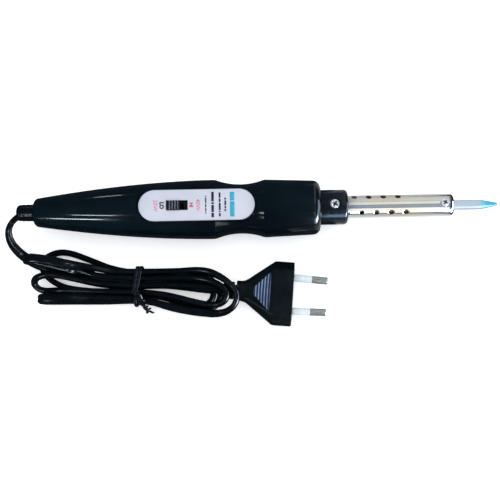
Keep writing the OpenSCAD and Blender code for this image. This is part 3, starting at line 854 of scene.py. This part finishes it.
def make_mark(name, text, x, height, look, weight=0.03):
    """A printed word that reads across the handle, its letters' tops towards the tip."""
    curve = bpy.data.curves.new(name, "FONT")
    curve.body, curve.align_x, curve.align_y = text, "CENTER", "CENTER"
    curve.size, curve.extrude, curve.resolution_u = height / 0.7 * MM, 0.015 * MM, 6
    curve.offset = weight * MM
    writing = show(bpy.data.objects.new(name + "_text", curve))
    mesh = bpy.data.meshes.new_from_object(
        writing.evaluated_get(bpy.context.evaluated_depsgraph_get()))
    bpy.data.objects.remove(writing)
    mesh.transform(Matrix.Translation(Vector((x, 0, LABEL_HIGH.z + 0.02)) * MM)
                   @ turned(-pi / 2, "Z"))
    mark = show(bpy.data.objects.new(name, mesh))
    finish_piece(mark, [], "label_film")
    coat(mark, look)


def make_row(name, x, length, width, look, dashes):
    """A row of plain dashes across the label, where small print would stand."""
    corner, low, high = 0.12, LABEL_HIGH.z - 0.02, LABEL_HIGH.z + 0.03
    gap = 0.45
    pitch = (length + gap) / sum(dashes)
    y, parts = length / 2, []
    for dash in dashes:
        end = y - dash * pitch + gap
        outline = [(x - width / 2, y, corner), (x + width / 2, y, corner),
                   (x + width / 2, end, corner), (x - width / 2, end, corner)]
        parts.append(prism(rounded(outline), low, high))
        y = end - gap
    row = make(name, joined(parts))
    finish_piece(row, [], "label_film")
    coat(row, look)


def make_marks():
    navy = ink("navy_ink", (0.012, 0.016, 0.05)).material
    red = ink("red_ink", (0.5, 0.03, 0.1)).material
    rose = ink("rose_ink", (0.68, 0.17, 0.26)).material
    blue = ink("blue_ink", (0.03, 0.42, 0.6)).material
    make_mark("mark_low_watts", "20W", -54.8, 2.2, rose)
    make_mark("mark_low", "LO", -51.4, 2.05, navy, 0.17)
    make_mark("mark_high", "HI", -35.5, 1.9, red, 0.11)
    make_mark("mark_high_watts", "40W", -31.9, 2.2, rose)
    for i, (x, length, width, look, dashes) in enumerate((
            (-27.6, 9.8, 0.7, navy, (1, 3, 2, 2, 1)), (-23.9, 14, 1.4, navy, (4, 1, 3, 2)),
            (-20.1, 13.2, 1, navy, (3, 2, 4, 1, 2)), (-17.1, 7.4, 0.9, navy, (1, 2, 1, 1)),
            (-13.4, 13.6, 2.5, blue, (3, 5)))):
        make_row(f"print_row_{i + 1}", x, length, width, look, dashes)


def make_slider():
    """A ribbed button, with the neck and carriage that hold it in the switch's housing."""
    low, high = box_mm("switch_slider")
    ribs, rib_h, carriage = 5, 0.6, 6
    half, base, seat, top = (high.x - low.x) / 2, low.z, AXIS_Z + 10.2, high.z - rib_h
    centre = low.x + half
    pitch = 2 * half / ribs
    outline = [(-half, seat), (-half, top + rib_h, 0.15)]
    for i in range(ribs):
        x = -half + i * pitch
        if i:
            outline.append((x, top + rib_h, 0.12))
        outline += [(x + pitch * 0.5, top + rib_h, 0.12), (x + pitch * 0.58, top, 0.06),
                    (x + pitch * 0.92, top, 0.06)]
    outline = outline[:-1] + [(half, top, 0.15), (half, seat)]
    sideways = turned(pi / 2, "X")
    points = [(centre + p[0], p[1]) for p in rounded(outline)]
    button = make("switch_button", prism(points, -2.5, 2.5, sideways))
    for x, y, from_z, to_z in ((1.5, 1.4, base + 1, seat + 0.3),
                               (carriage / 2, 2.8, base, base + 2.8)):
        cut(button, block((centre - x, -y, from_z), (centre + x, y, to_z)), "UNION")
    soften_edges(button, 0.1, 50)
    finish_piece(button, ["switch_slider"], "black_plastic", "switch_slider")
    # Painted highlight: the rib tops take the lighter ridge material, as if lit.
    button.data.materials.append(PAINTED_RIDGE_HIGHLIGHT)
    for face in button.data.polygons:
        on_top = face.center.z > (top + rib_h * 0.7) * MM and face.normal.z > 0.5
        along = (face.center.x / MM - centre + half) / pitch
        face.material_index = int(on_top and 0.6 < along < ribs - 0.6)


make_label()
make_marks()
make_slider()


# ---- Plug: its own frame has its front face at 0 and its pins along +X ----
# PLUG_W, PLUG_T, NECK_W and NECK_T are half widths and half thicknesses.

PLUG_W, PLUG_T, NECK_W, NECK_T = 17.6, 6.85, 5.45, 4.3
PLUG_FACE, PLUG_TURN = (18.8, -46.7, PLUG_T), radians(-5)
PLUG = Matrix.Translation(PLUG_FACE) @ turned(PLUG_TURN, "Z")
PLUG_STRAIGHT, PLUG_NECK, PLUG_BACK = 10.6, 26.6, 31.1
RECESS_NEAR, RECESS_FAR, RECESS_WIDE, RECESS_NARROW, RIB_DROP = 2, 11.4, 11, 1.8, 0.18
PIN_SPACING, PIN_LEAN, PIN_L, SLEEVE_L, PIN_R, CORE_R = 18.6, 1.66, 19, 10, 2, 1.5


def plug_ring(back, half_w):
    """One outline across the plug: a slab with wide bevels towards its thin edges."""
    front_inset = max(0, PLUG_W - half_w) if back < 1 else 0
    slope = smoothstep(min(1, max(0, (back - PLUG_STRAIGHT + 1) / 2)))
    fall = slope * (back - PLUG_STRAIGHT) / (PLUG_NECK - PLUG_STRAIGHT)
    half_t = lerp(PLUG_T, NECK_T, min(1, max(0, fall))) - front_inset
    narrow = (half_w - NECK_W) / (PLUG_W - NECK_W)
    edge, bevel = lerp(2.4, 2.6, narrow), lerp(1.6, 5, narrow)
    corners = []
    for across, up in ((1, 1), (-1, 1), (-1, -1), (1, -1)):
        pair = [(across * half_w, up * edge, 0.7), (across * (half_w - bevel), up * half_t, 0.9)]
        corners += pair if across * up > 0 else pair[::-1]
    return [PLUG @ Vector((-back, v, w)) for v, w in rounded(corners)]


def plug_recess_tool(face):
    """The ribbed three-sided recess, as a cutter for the top or the bottom slope."""
    slope = atan((PLUG_T - NECK_T) / (PLUG_NECK - PLUG_STRAIGHT))
    place = (PLUG @ turned(face, "X")
             @ Matrix.Translation((-PLUG_STRAIGHT, 0, PLUG_T)) @ turned(-slope, "Y"))
    outline = [(-RECESS_NEAR, -RECESS_WIDE), (-RECESS_NEAR, RECESS_WIDE),
               (-RECESS_FAR, RECESS_NARROW), (-RECESS_FAR, -RECESS_NARROW)]
    depth, pitch, rib, bow = 0.95, 1.6, 0.62, 0.35
    tool = make("recess", prism(outline, -depth, 2, place))
    for i in range(6):
        x = -RECESS_NEAR - pitch * i
        curve = [(x + bow * (y / RECESS_WIDE) ** 2, y) for y in range(-12, 13, 2)]
        ridge = [(a + rib / 2, b) for a, b in curve]
        ridge += [(a - rib / 2, b) for a, b in reversed(curve)]
        cut(tool, prism(ridge, -depth - 0.5, -RIB_DROP, place))
    return taken(tool)


def make_plug():
    outline = rounded([(0, 0), (0, PLUG_W, 0.6), (PLUG_STRAIGHT, PLUG_W, 0.9),
                       (PLUG_NECK, NECK_W, 2.4), (PLUG_BACK, NECK_W, 0.5), (PLUG_BACK, 0)], 6)
    between = [(back, lerp(PLUG_W, NECK_W, (back - PLUG_STRAIGHT) / (PLUG_NECK - PLUG_STRAIGHT)))
               for back in (13, 15, 17, 19, 21)]
    corners = [tuple(p) for p in outline if p[1] > 0.1]
    sides = sorted(corners + [(back, PLUG_W) for back in (2.5, 5, 8)] + between)
    plug = make("plug", loft([plug_ring(back, half_w) for back, half_w in sides]))
    for face in (0, pi):
        cut(plug, plug_recess_tool(face))
    for side in (-1, 1):
        cut(plug, lathe([(-9, CORE_R + 0.02), (1, CORE_R + 0.02)], 40, pin_place(side)))
    soften_edges(plug, 0.12, 40)
    finish_piece(plug, ["plug_body"], "plug_plastic")
    plug.data.materials.append(plug_recess_sheen().material)
    plug.data.materials.append(plug_rib_highlight().material)
    to_plug, edge, slant, under, rib_side = PLUG.inverted(), 0.1, 13.1, 0.12, 0.15
    for face in plug.data.polygons:
        x, y, z = to_plug @ (face.center / MM)
        behind = -x - PLUG_STRAIGHT
        top = PLUG_T - behind * (PLUG_T - NECK_T) / (PLUG_NECK - PLUG_STRAIGHT)
        inside = RECESS_NEAR - edge < behind < RECESS_FAR + edge and abs(y) + behind < slant
        # Painted light: the recess faces take the lighter recess material as painted sheen, and the
        # rib tops the still lighter one as painted highlight.
        if inside and abs(z) < top - under:
            face.material_index = 2 if abs(z) > top - RIB_DROP - rib_side else 1
    return plug


def pin_place(side):
    return (PLUG @ Matrix.Translation((0, side * PIN_SPACING / 2, 0))
            @ turned(radians(-side * PIN_LEAN), "Z")
            @ turned(pi / 2, "Y"))


def make_pins():
    end = round_nose(PIN_L, PIN_R, 0.8, 6)
    outline = [(-8.9, 0), (-8.9, CORE_R), (SLEEVE_L + 0.05, CORE_R),
               (SLEEVE_L + 0.05, PIN_R - 0.08), (SLEEVE_L + 0.15, PIN_R)] + end + [(PIN_L, 0)]
    pins = make("pins", joined([lathe(outline, 48, pin_place(side)) for side in (-1, 1)]))
    soften_edges(pins, 0)
    finish_piece(pins, ["plug_pins"], "pin_nickel")
    bore, lip = CORE_R + 0.02, 0.12
    outline = [(0.25, bore), (0.25, PIN_R - lip), (0.25 + lip, PIN_R), (SLEEVE_L - 0.2, PIN_R),
               (SLEEVE_L, PIN_R - lip), (SLEEVE_L, bore)]
    sleeves = make("sleeves", joined([lathe(outline, 48, pin_place(side), closed=True)
                                      for side in (-1, 1)]))
    soften_edges(sleeves, 0.04, 40, 1)
    finish_piece(sleeves, ["pin_sleeves"], "sleeve_plastic")
    return pins, sleeves


def oval_ring(back, half_w, half_t):
    """A soft-cornered ring across the plug's frame."""
    ring = []
    for k in range(40):
        c, s = cos(2 * pi * k / 40), sin(2 * pi * k / 40)
        ring.append(PLUG @ Vector((-back, half_w * copysign(abs(c) ** 0.6, c),
                                   half_t * copysign(abs(s) ** 0.6, s))))
    return ring


def make_relief():
    """The ribbed sleeve where the cord enters the plug, narrowing block by block."""
    profile = [
        (31.15, 3.2, 2.3), (32.1, 3.2, 2.3), (32.3, 4.4, 3.5), (32.7, 4.8, 3.9), (34.7, 4.8, 3.9),
        (35.1, 4.4, 3.5), (35.3, 3.4, 2.5), (35.9, 3.4, 2.5), (36.1, 3.9, 3.1), (36.4, 4.2, 3.4),
        (38, 4.1, 3.3), (38.4, 3.7, 2.9), (38.6, 3.1, 2.2),
    ]
    relief = make("strain_relief", loft([oval_ring(*p) for p in profile]))
    soften_edges(relief, 0)
    return finish_piece(relief, ["plug_strain_relief"], "plug_plastic")


plug = make_plug()
pins, sleeves = make_pins()
relief = make_relief()


# ---- Cord: one route from the gland to the plug, in millimetres ----
# Each point is (x, y, z, tilt); tilt is how far the cord's width turns up from level.

CORD_W, CORD_T = 5.4, 3.3
LEAD = [
    (-130.4, -1.3, 16.3, 75), (-132.7, -3, 16.2, 74), (-135.1, -5.3, 15.6, 70),
    (-136.9, -8.4, 14.1, 64), (-137.3, -11.9, 12, 56), (-136.3, -15.5, 10.2, 44),
    (-134, -18.9, 8.8, 30), (-130.8, -22, 8, 14), (-126.8, -24.9, 7.6, 0),
    (-122.4, -27.3, 7.5, 0), (-117, -29.2, 7.4, 0), (-111, -29.9, 6.7, 0),
    (-104, -30.8, 5.3, 10), (-96, -32.4, 4.4, 45), (-86, -35, 3.7, 80),
]
TIE_X = -66.5
COLUMNS = (-33.0, -36.75, -40.5, -44.25, -48.0)
LAYERS = (3.4, 8.85)


def slot(column, layer):
    """Where a run passes through the tie, just above the strand that goes under them."""
    return (TIE_X, COLUMNS[column], LAYERS[layer], 78)


def bend(end_x, y_from, y_to):
    """A level half turn, whose furthest point towards the plug is at end_x."""
    radius, y_mid = abs(y_from - y_to) / 2, (y_from + y_to) / 2
    points = []
    for i in range(7):
        angle = radians(-90 + 30 * i)
        points.append((end_x - radius + radius * cos(angle),
                       y_mid + (y_to - y_from) / 2 * sin(angle)))
    return points


def fold(end_x, y, z_from, z_to):
    """A standing half turn of the flat cord at the left end."""
    radius, z_mid = abs(z_from - z_to) / 2, (z_from + z_to) / 2
    points = []
    for i in range(7):
        angle = radians(-90 + 30 * i)
        x = end_x + radius - radius * cos(angle)
        points.append((x, y, z_mid + (z_to - z_from) / 2 * sin(angle), 0))
    return points


def half_height(tilt):
    """How far the flat cord reaches below its middle at this tilt."""
    angle = radians(tilt)
    return hypot(CORD_W / 2 * sin(angle), CORD_T / 2 * cos(angle))


def ease(a, b):
    """Two points on the smooth way from a to b, clear of the surface below."""
    between = []
    for t in (1 / 3, 2 / 3):
        s = smoothstep(t)
        y, z, tilt = (lerp(a[i], b[i], s) for i in (1, 2, 3))
        between.append((lerp(a[0], b[0], t), y, max(z, half_height(tilt) + 0.1), tilt))
    return between


# Turns that don't follow one arc; their points are (x, y, z, tilt). One without a tilt is on
# edge, with the cord's width upright, and one without z as well lies on the floor.
EDGE_Z = 2.75
LEFT_TURN = [
    (-80, -43.2, 3), (-92, -42.3), (-104, -40.7), (-109, -39.3), (-113, -37.3), (-116.8, -34.5),
    (-119.6, -31), (-120.6, -27.2), (-119, -23.8), (-115.4, -21.3), (-110.4, -20.1),
    (-104.4, -20.9), (-95, -24.4), (-82, -29.6, 2.9),
]
LOW_TURN = [
    (-44, -33.6), (-34, -34), (-27.5, -36.2), (-23, -40.6), (-21.4, -46), (-23.4, -51),
    (-27.6, -53.7), (-34, -54.5), (-42, -53.6), (-50, -51.6, 2.9), (-58, -49.5, 3.2),
]
OUTER_TURN = [
    (-58, -49.8, 8.8, 80), (-48, -52.7, 8.7, 62), (-38, -54.9, 8.7, 60), (-30, -56.1, 8.8, 62),
    (-24.3, -56.7, 9.2, 70), (-18.6, -56, 10.4, 80), (-14.2, -53.4, 12), (-12, -49.2, 13.6),
    (-12.8, -44.8, 14.4), (-16.2, -40.6, 14.4), (-21, -37, 13.6, 80), (-27, -34.1, 12.2, 74),
    (-34, -32.9, 10.6, 78), (-43.5, -32.9, 9.4, 88),
]
UPPER_TURN = [
    (-54, -36.7, 8.9), (-44, -36.5, 9.1), (-34, -37.1, 10), (-26.4, -38.9, 11.6),
    (-20.8, -41.9, 13.2), (-17.3, -45.9, 13.8), (-18.4, -49.7, 12.6), (-22, -51.7, 10.8),
    (-28, -51.6, 9.4), (-36, -49.8, 8.9), (-44, -47.6, 8.8), (-53, -45.6, 8.8),
]
SMALL_TURN = [
    (-78, -43.9, 8.8, 80), (-86, -43.4, 8.7, 84), (-96, -42.8, 8.5), (-104, -42.3, 8.3),
    (-109, -42.2, 8.2), (-113, -42.1, 7.4), (-117.4, -42, 6.3), (-121.2, -41, 6.4),
    (-123.5, -38.5, 7.6), (-122.6, -35.8, 9.6), (-119, -34.4, 11.2), (-113, -34, 11.4),
    (-104.5, -35.4, 10.6), (-96, -37.3, 9.8, 84), (-86, -39.2, 9.3, 74), (-77, -40.1, 9, 72),
]
HUMP_OUT = [
    (-80, -32.4, 10.3, 90), (-90, -31, 13.9, 88), (-98, -30.2, 16.1, 45), (-106, -28.7, 17, 12),
    (-115, -26.7, 17.9, 0),
]
HUMP_BACK = [
    (-115, -27.5, 11, 0), (-106, -30, 11, 12), (-98, -32.6, 10.8, 45), (-90, -34.4, 10.4, 88),
    (-80, -35.7, 9.8, 88),
]
TO_PLUG = [
    (-50, -40.6, 8.2, 80), (-38, -41.6, 8, 50), (-28, -42.6, 7.4, 10), (-22, -43.1, 7.1, 0),
    (-18.6, -43.4, 6.9, 0),
]
EASED_GAP, SAMPLES = 28, 6


def on_edge(points):
    """The points with the height and tilt that they leave out."""
    return [p + (EDGE_Z, 90)[len(p) - 2:] for p in points]


def cord_route():
    """The lead, nine runs through the tie, their turns, and the end that enters the plug."""
    stages = [
        LEAD,
        [slot(1, 0)], on_edge(bend(-25.2, -38.8, -51.3)), [slot(3, 0)],
        on_edge(LEFT_TURN), [slot(0, 0)],
        on_edge(LOW_TURN), [slot(4, 0)],
        fold(-120.4, -46.6, 1.85, 10.3), [slot(4, 1)],
        on_edge(OUTER_TURN), [slot(0, 1)],
        HUMP_OUT, fold(-126.9, -25.7, 18.3, 11), HUMP_BACK, [slot(1, 1)],
        on_edge(UPPER_TURN), [slot(3, 1)],
        on_edge(SMALL_TURN), [slot(2, 1)],
        TO_PLUG,
    ]
    route = list(stages[0])
    for stage in stages[1:]:
        if abs(stage[0][0] - route[-1][0]) > EASED_GAP:
            route += ease(route[-1], stage[0])
        route += stage
    return route


def cord_section():
    """The flat cord's outline: two round cores side by side in one jacket."""
    points, steps, half_gap, waist = [], 8, (CORD_W - CORD_T) / 2, 0.18
    for sign in (1, -1):
        for i in range(steps + 1):
            angle = pi * i / steps
            points.append((sign * cos(angle) * CORD_T / 2,
                           sign * (half_gap + sin(angle) * CORD_T / 2)))
        points.append((-sign * (CORD_T / 2 - waist), 0))
    return points


def sweep(path, widths, section):
    """A skin over section's (thin, wide) points, carried along path with its width along widths."""
    rings = []
    for i, here in enumerate(path):
        ahead, behind = path[min(i + 1, len(path) - 1)], path[max(i - 1, 0)]
        way = (ahead - behind).normalized()
        wide = (widths[i] - widths[i].dot(way) * way).normalized()
        thin = wide.cross(way)
        rings.append([here + thin * a + wide * b for a, b in section])
    return loft(rings)


def make_cord():
    samples = spline(cord_route(), SAMPLES)
    path = [Vector(s[:3]) for s in samples]
    widths = []
    for i, sample in enumerate(samples):
        heading = path[min(i + 1, len(path) - 1)] - path[max(i - 1, 0)]
        in_lead = i < SAMPLES * (len(LEAD) - 1)
        across = Vector((-heading.y, heading.x, 0)).normalized() if in_lead else Vector((0, 1, 0))
        tilt = radians(sample[3])
        widths.append(across * cos(tilt) + Vector((0, 0, sin(tilt))))
    cord = make("cord", sweep(path, widths, cord_section()))
    finish_piece(cord, ["cord_lead", "cord_hank"], "cord_pvc")


# ---- Twist tie: one strand, twice round the bundle and twisted on top ----

def twisted_strand(centres, phase):
    """One strand of the two that wind round each other along centres."""
    line, points, radius, turns = spline(centres, 5), [], 0.95, 2
    for i, centre in enumerate(line):
        before, after = line[max(i - 1, 0)], line[min(i + 1, len(line) - 1)]
        way = (Vector(after) - Vector(before)).normalized()
        side = way.cross(Vector((0, 0, 1))).normalized()
        angle = phase + 2 * pi * turns * i / (len(line) - 1)
        offset = side * cos(angle) + side.cross(way) * sin(angle)
        points.append(tuple(Vector(centre) + offset * radius))
    return points


def once_round(x, slack):
    """Once round the bundle, from its top back to its top, drifting towards the tip."""
    low, top, right, left, drift = 0.56, 12.3, -31, -50 - slack, 1.9
    stations = [(0.05, -38, top), (0.2, right - 2, top), (0.24, right + 0.6, top - 1.2),
                (0.3, right + 1.1, 9), (0.38, right + 0.8, 5.4), (0.44, right + 0.4, 2.6),
                (0.475, right - 0.4, 1.05), (0.52, right - 2, low), (0.6, -40.4, low),
                (0.68, left + 2, low), (0.725, left + 0.4, 1.05), (0.76, left - 0.3, 2.6),
                (0.81, left - 0.5, 6.4), (0.88, left - 0.3, 10.4),
                (0.92, left + 1.2, top + 0.1)]
    return [(x + drift * t + (y - left) * 0.1, y, z) for t, y, z in stations]


def make_tie():
    centres = [(-67.4, -44.2, 13.9), (-65.2, -47.4, 14.1), (-63.2, -50.4, 13.3),
               (-61.6, -52.6, 10.6), (-60.6, -53.6, 7.2)]
    end_a = [(-60.2, -54.3, 5.4), (-59.4, -54.7, 3.8), (-58.4, -55, 2.6)]
    end_b = [(-61.2, -54, 5.6), (-61.6, -54.5, 4), (-62, -55, 2.6)]
    route = end_a[::-1] + twisted_strand(centres, 0)[::-1] + once_round(-69, 0.9)
    route += [(-67, -44, 12.6)] + once_round(-66.9, 0)
    route += twisted_strand(centres, pi) + end_b
    path = [Vector(s[:3]) for s in spline(route, 5)]
    half_t, half_w = 0.36, 0.84
    section = [(half_t * cos(pi * k / 6), half_w * sin(pi * k / 6))
               for k in range(12)]
    tie = make("tie", sweep(path, [Vector((1, 0.12, 0))] * len(path), section))
    finish_piece(tie, ["twist_tie"], "cord_pvc")
    coat(tie, TIE_VINYL)
    return tie


tie = make_tie()
make_cord()


# ---- Gland ----

def make_gland():
    low, high = box_mm("cord_gland")
    end = high.x - low.x
    bead = [
        (0, 0.2), (0, 3, 0.9), (0.9, 4.3, 0.6), (2.4, 4.5, 0.2), (2.6, 4.35, 0.1), (3, 4.35, 0.1),
        (3.2, 4.6, 0.2), (4.4, 4.6, 0.2), (4.6, 4.45, 0.1), (5, 4.45, 0.1), (5.2, 4.6, 0.2),
        (9.2, 4.6, 0.3), (9.8, 4.35), (11.6, 4.35), (11.8, 4.35), (11.8, 5.5, 0.2), (end, 5.5, 0.2),
        (end, 0.2),
    ]
    gland = make("gland", lathe([(low.x + p[0], p[1]) for p in rounded(bead)], 72))
    soften_edges(gland, 0)
    finish_piece(gland, ["cord_gland"], "cord_pvc")


make_gland()


# ---- Stage and lights ----

def make_world(light, in_gloss):
    """A pale dome that lights the scene, and is much dimmer where it is mirrored."""
    world = bpy.data.worlds.new("studio")
    bpy.context.scene.world = world
    world.use_nodes = True
    nodes, links = world.node_tree.nodes, world.node_tree.links
    mirrored = nodes.new("ShaderNodeLightPath").outputs["Is Glossy Ray"]
    strength = set_sockets(nodes.new("ShaderNodeMapRange"), To_Min=light, To_Max=in_gloss)
    background = set_sockets(nodes["Background"], Color=(0.88, 0.94, 1, 1))
    links.new(mirrored, strength.inputs["Value"])
    links.new(strength.outputs["Result"], background.inputs["Strength"])


def make_floor():
    reach, below = 3000, -0.2
    corners = [Vector((x * reach, y * reach, below)) * MM
               for x, y in ((-1, -1), (1, -1), (1, 1), (-1, 1))]
    mesh = bpy.data.meshes.new("floor")
    mesh.from_pydata(corners, [], [(0, 1, 2, 3)])
    floor = show(bpy.data.objects.new("floor", mesh))
    mesh.materials.append(pale_floor().material)
    floor.visible_glossy = False


def make_light(name, data, position, right, out):
    """Places a light that shines along out, its length along right."""
    light = show(bpy.data.objects.new(name, data))
    turn = Matrix((right, (-out).cross(right), -out)).transposed()
    light.matrix_world = Matrix.Translation(Vector(position) * MM) @ turn.to_4x4()
    light.visible_camera = False
    return light


def make_sun(name, direction, strength, spread):
    """Soft light from above, which gives no highlight of its own."""
    data = bpy.data.lights.new(name, "SUN")
    data.energy, data.angle = strength, radians(spread)
    out = -Vector(direction).normalized()
    right = out.orthogonal().normalized()
    make_light(name, data, -out * 500, right, out).visible_glossy = False


def make_panel(name, position, right, out, size, radiance, color):
    """A flat panel that is seen only where a surface mirrors it."""
    data = bpy.data.lights.new(name, "AREA")
    data.shape = "RECTANGLE"
    data.size, data.size_y = size[0] * MM, size[1] * MM
    data.energy = radiance * pi * data.size * data.size_y
    data.color = color
    make_light(name, data, position, right, out).visible_diffuse = False


def make_card(name, x_from, x_to, angle, spread, radiance, color=(1, 1, 1), skew=0, distance=320):
    """A panel along X; angle is how far it leans from overhead to the cord's side."""
    lean, x = radians(angle), (x_from + x_to) / 2
    position = (x, -sin(lean) * distance, AXIS_Z + cos(lean) * distance)
    out = Vector((0, sin(lean), -cos(lean)))
    right = Matrix.Rotation(radians(skew), 3, out) @ Vector((1, 0, 0))
    size = (x_to - x_from, 2 * distance * tan(radians(spread) / 2))
    make_panel(name, position, right, out, size, radiance, color)


def make_floor_panel(name, x_from, x_to, y_from, y_to, radiance, color=(1, 1, 1)):
    """Gives the low sides of the metal parts something pale to mirror."""
    position = ((x_from + x_to) / 2, (y_from + y_to) / 2, 0)
    make_panel(name, position, Vector((1, 0, 0)), Vector((0, 0, 1)),
               (x_to - x_from, y_to - y_from), radiance, color)


def make_window(name, direction, width, height, radiance, color, distance=400):
    """An upright panel a way off, for the bright corners of curved parts."""
    out = -Vector(direction).normalized()
    right = Vector((0, 0, 1)).cross(-out).normalized()
    position = -out * distance + Vector((0, 0, AXIS_Z))
    make_panel(name, position, right, out, (width, height), radiance, color)


make_world(light=0.78, in_gloss=0.04)
make_floor()
make_sun("key", (-0.25, 0.2, 1), strength=1.15, spread=60)
make_sun("fill", (0.4, -0.5, 1), strength=0.45, spread=90)

# Each card has its ends along X, lean, spread, radiance and colour; a streak has a skew too.
make_card("barrel_rim", 86, 190, -81, 22, 0.62)
make_card("barrel_back", 86, 190, -52, 34, 0.68, (1, 0.99, 0.9))
make_card("barrel_warm", 86, 190, -19, 28, 0.9, (0.97, 1, 0.96))
make_card("barrel_top", 86, 190, 12, 28, 0.5, (0.66, 0.8, 1))
make_card("barrel_front", 86, 190, 58, 56, 1.15)
make_floor_panel("barrel_below", 45, 116, -24, -3, 0.85)
make_floor_panel("barrel_near", 45, 116, -170, -24, 0.56, (0.96, 1, 1))
make_floor_panel("barrel_far", 45, 116, 3, 200, 0.5)

make_card("collar_band", 41.5, 62, 68, 19, 7, (0.36, 0.6, 1), distance=70)
make_card("streak_low", -281, -203, 54, 2.9, 36, (0.82, 0.98, 1), -12)
make_card("streak_high", -252, -186, 31, 2.2, 24, (0.86, 0.95, 1), 14)
make_card("streak_back", -200, -163, -66, 2.2, 11, (0.92, 0.97, 1))
make_window("window", (0.68, -0.68, 0.2), 190, 130, 34, (0.84, 0.92, 1))
make_window("shoulder_glow", (0.94, -0.28, 0.2), 520, 230, 5.5, (0.6, 0.76, 1))
bpy.context.scene.view_settings.view_transform = "Standard"
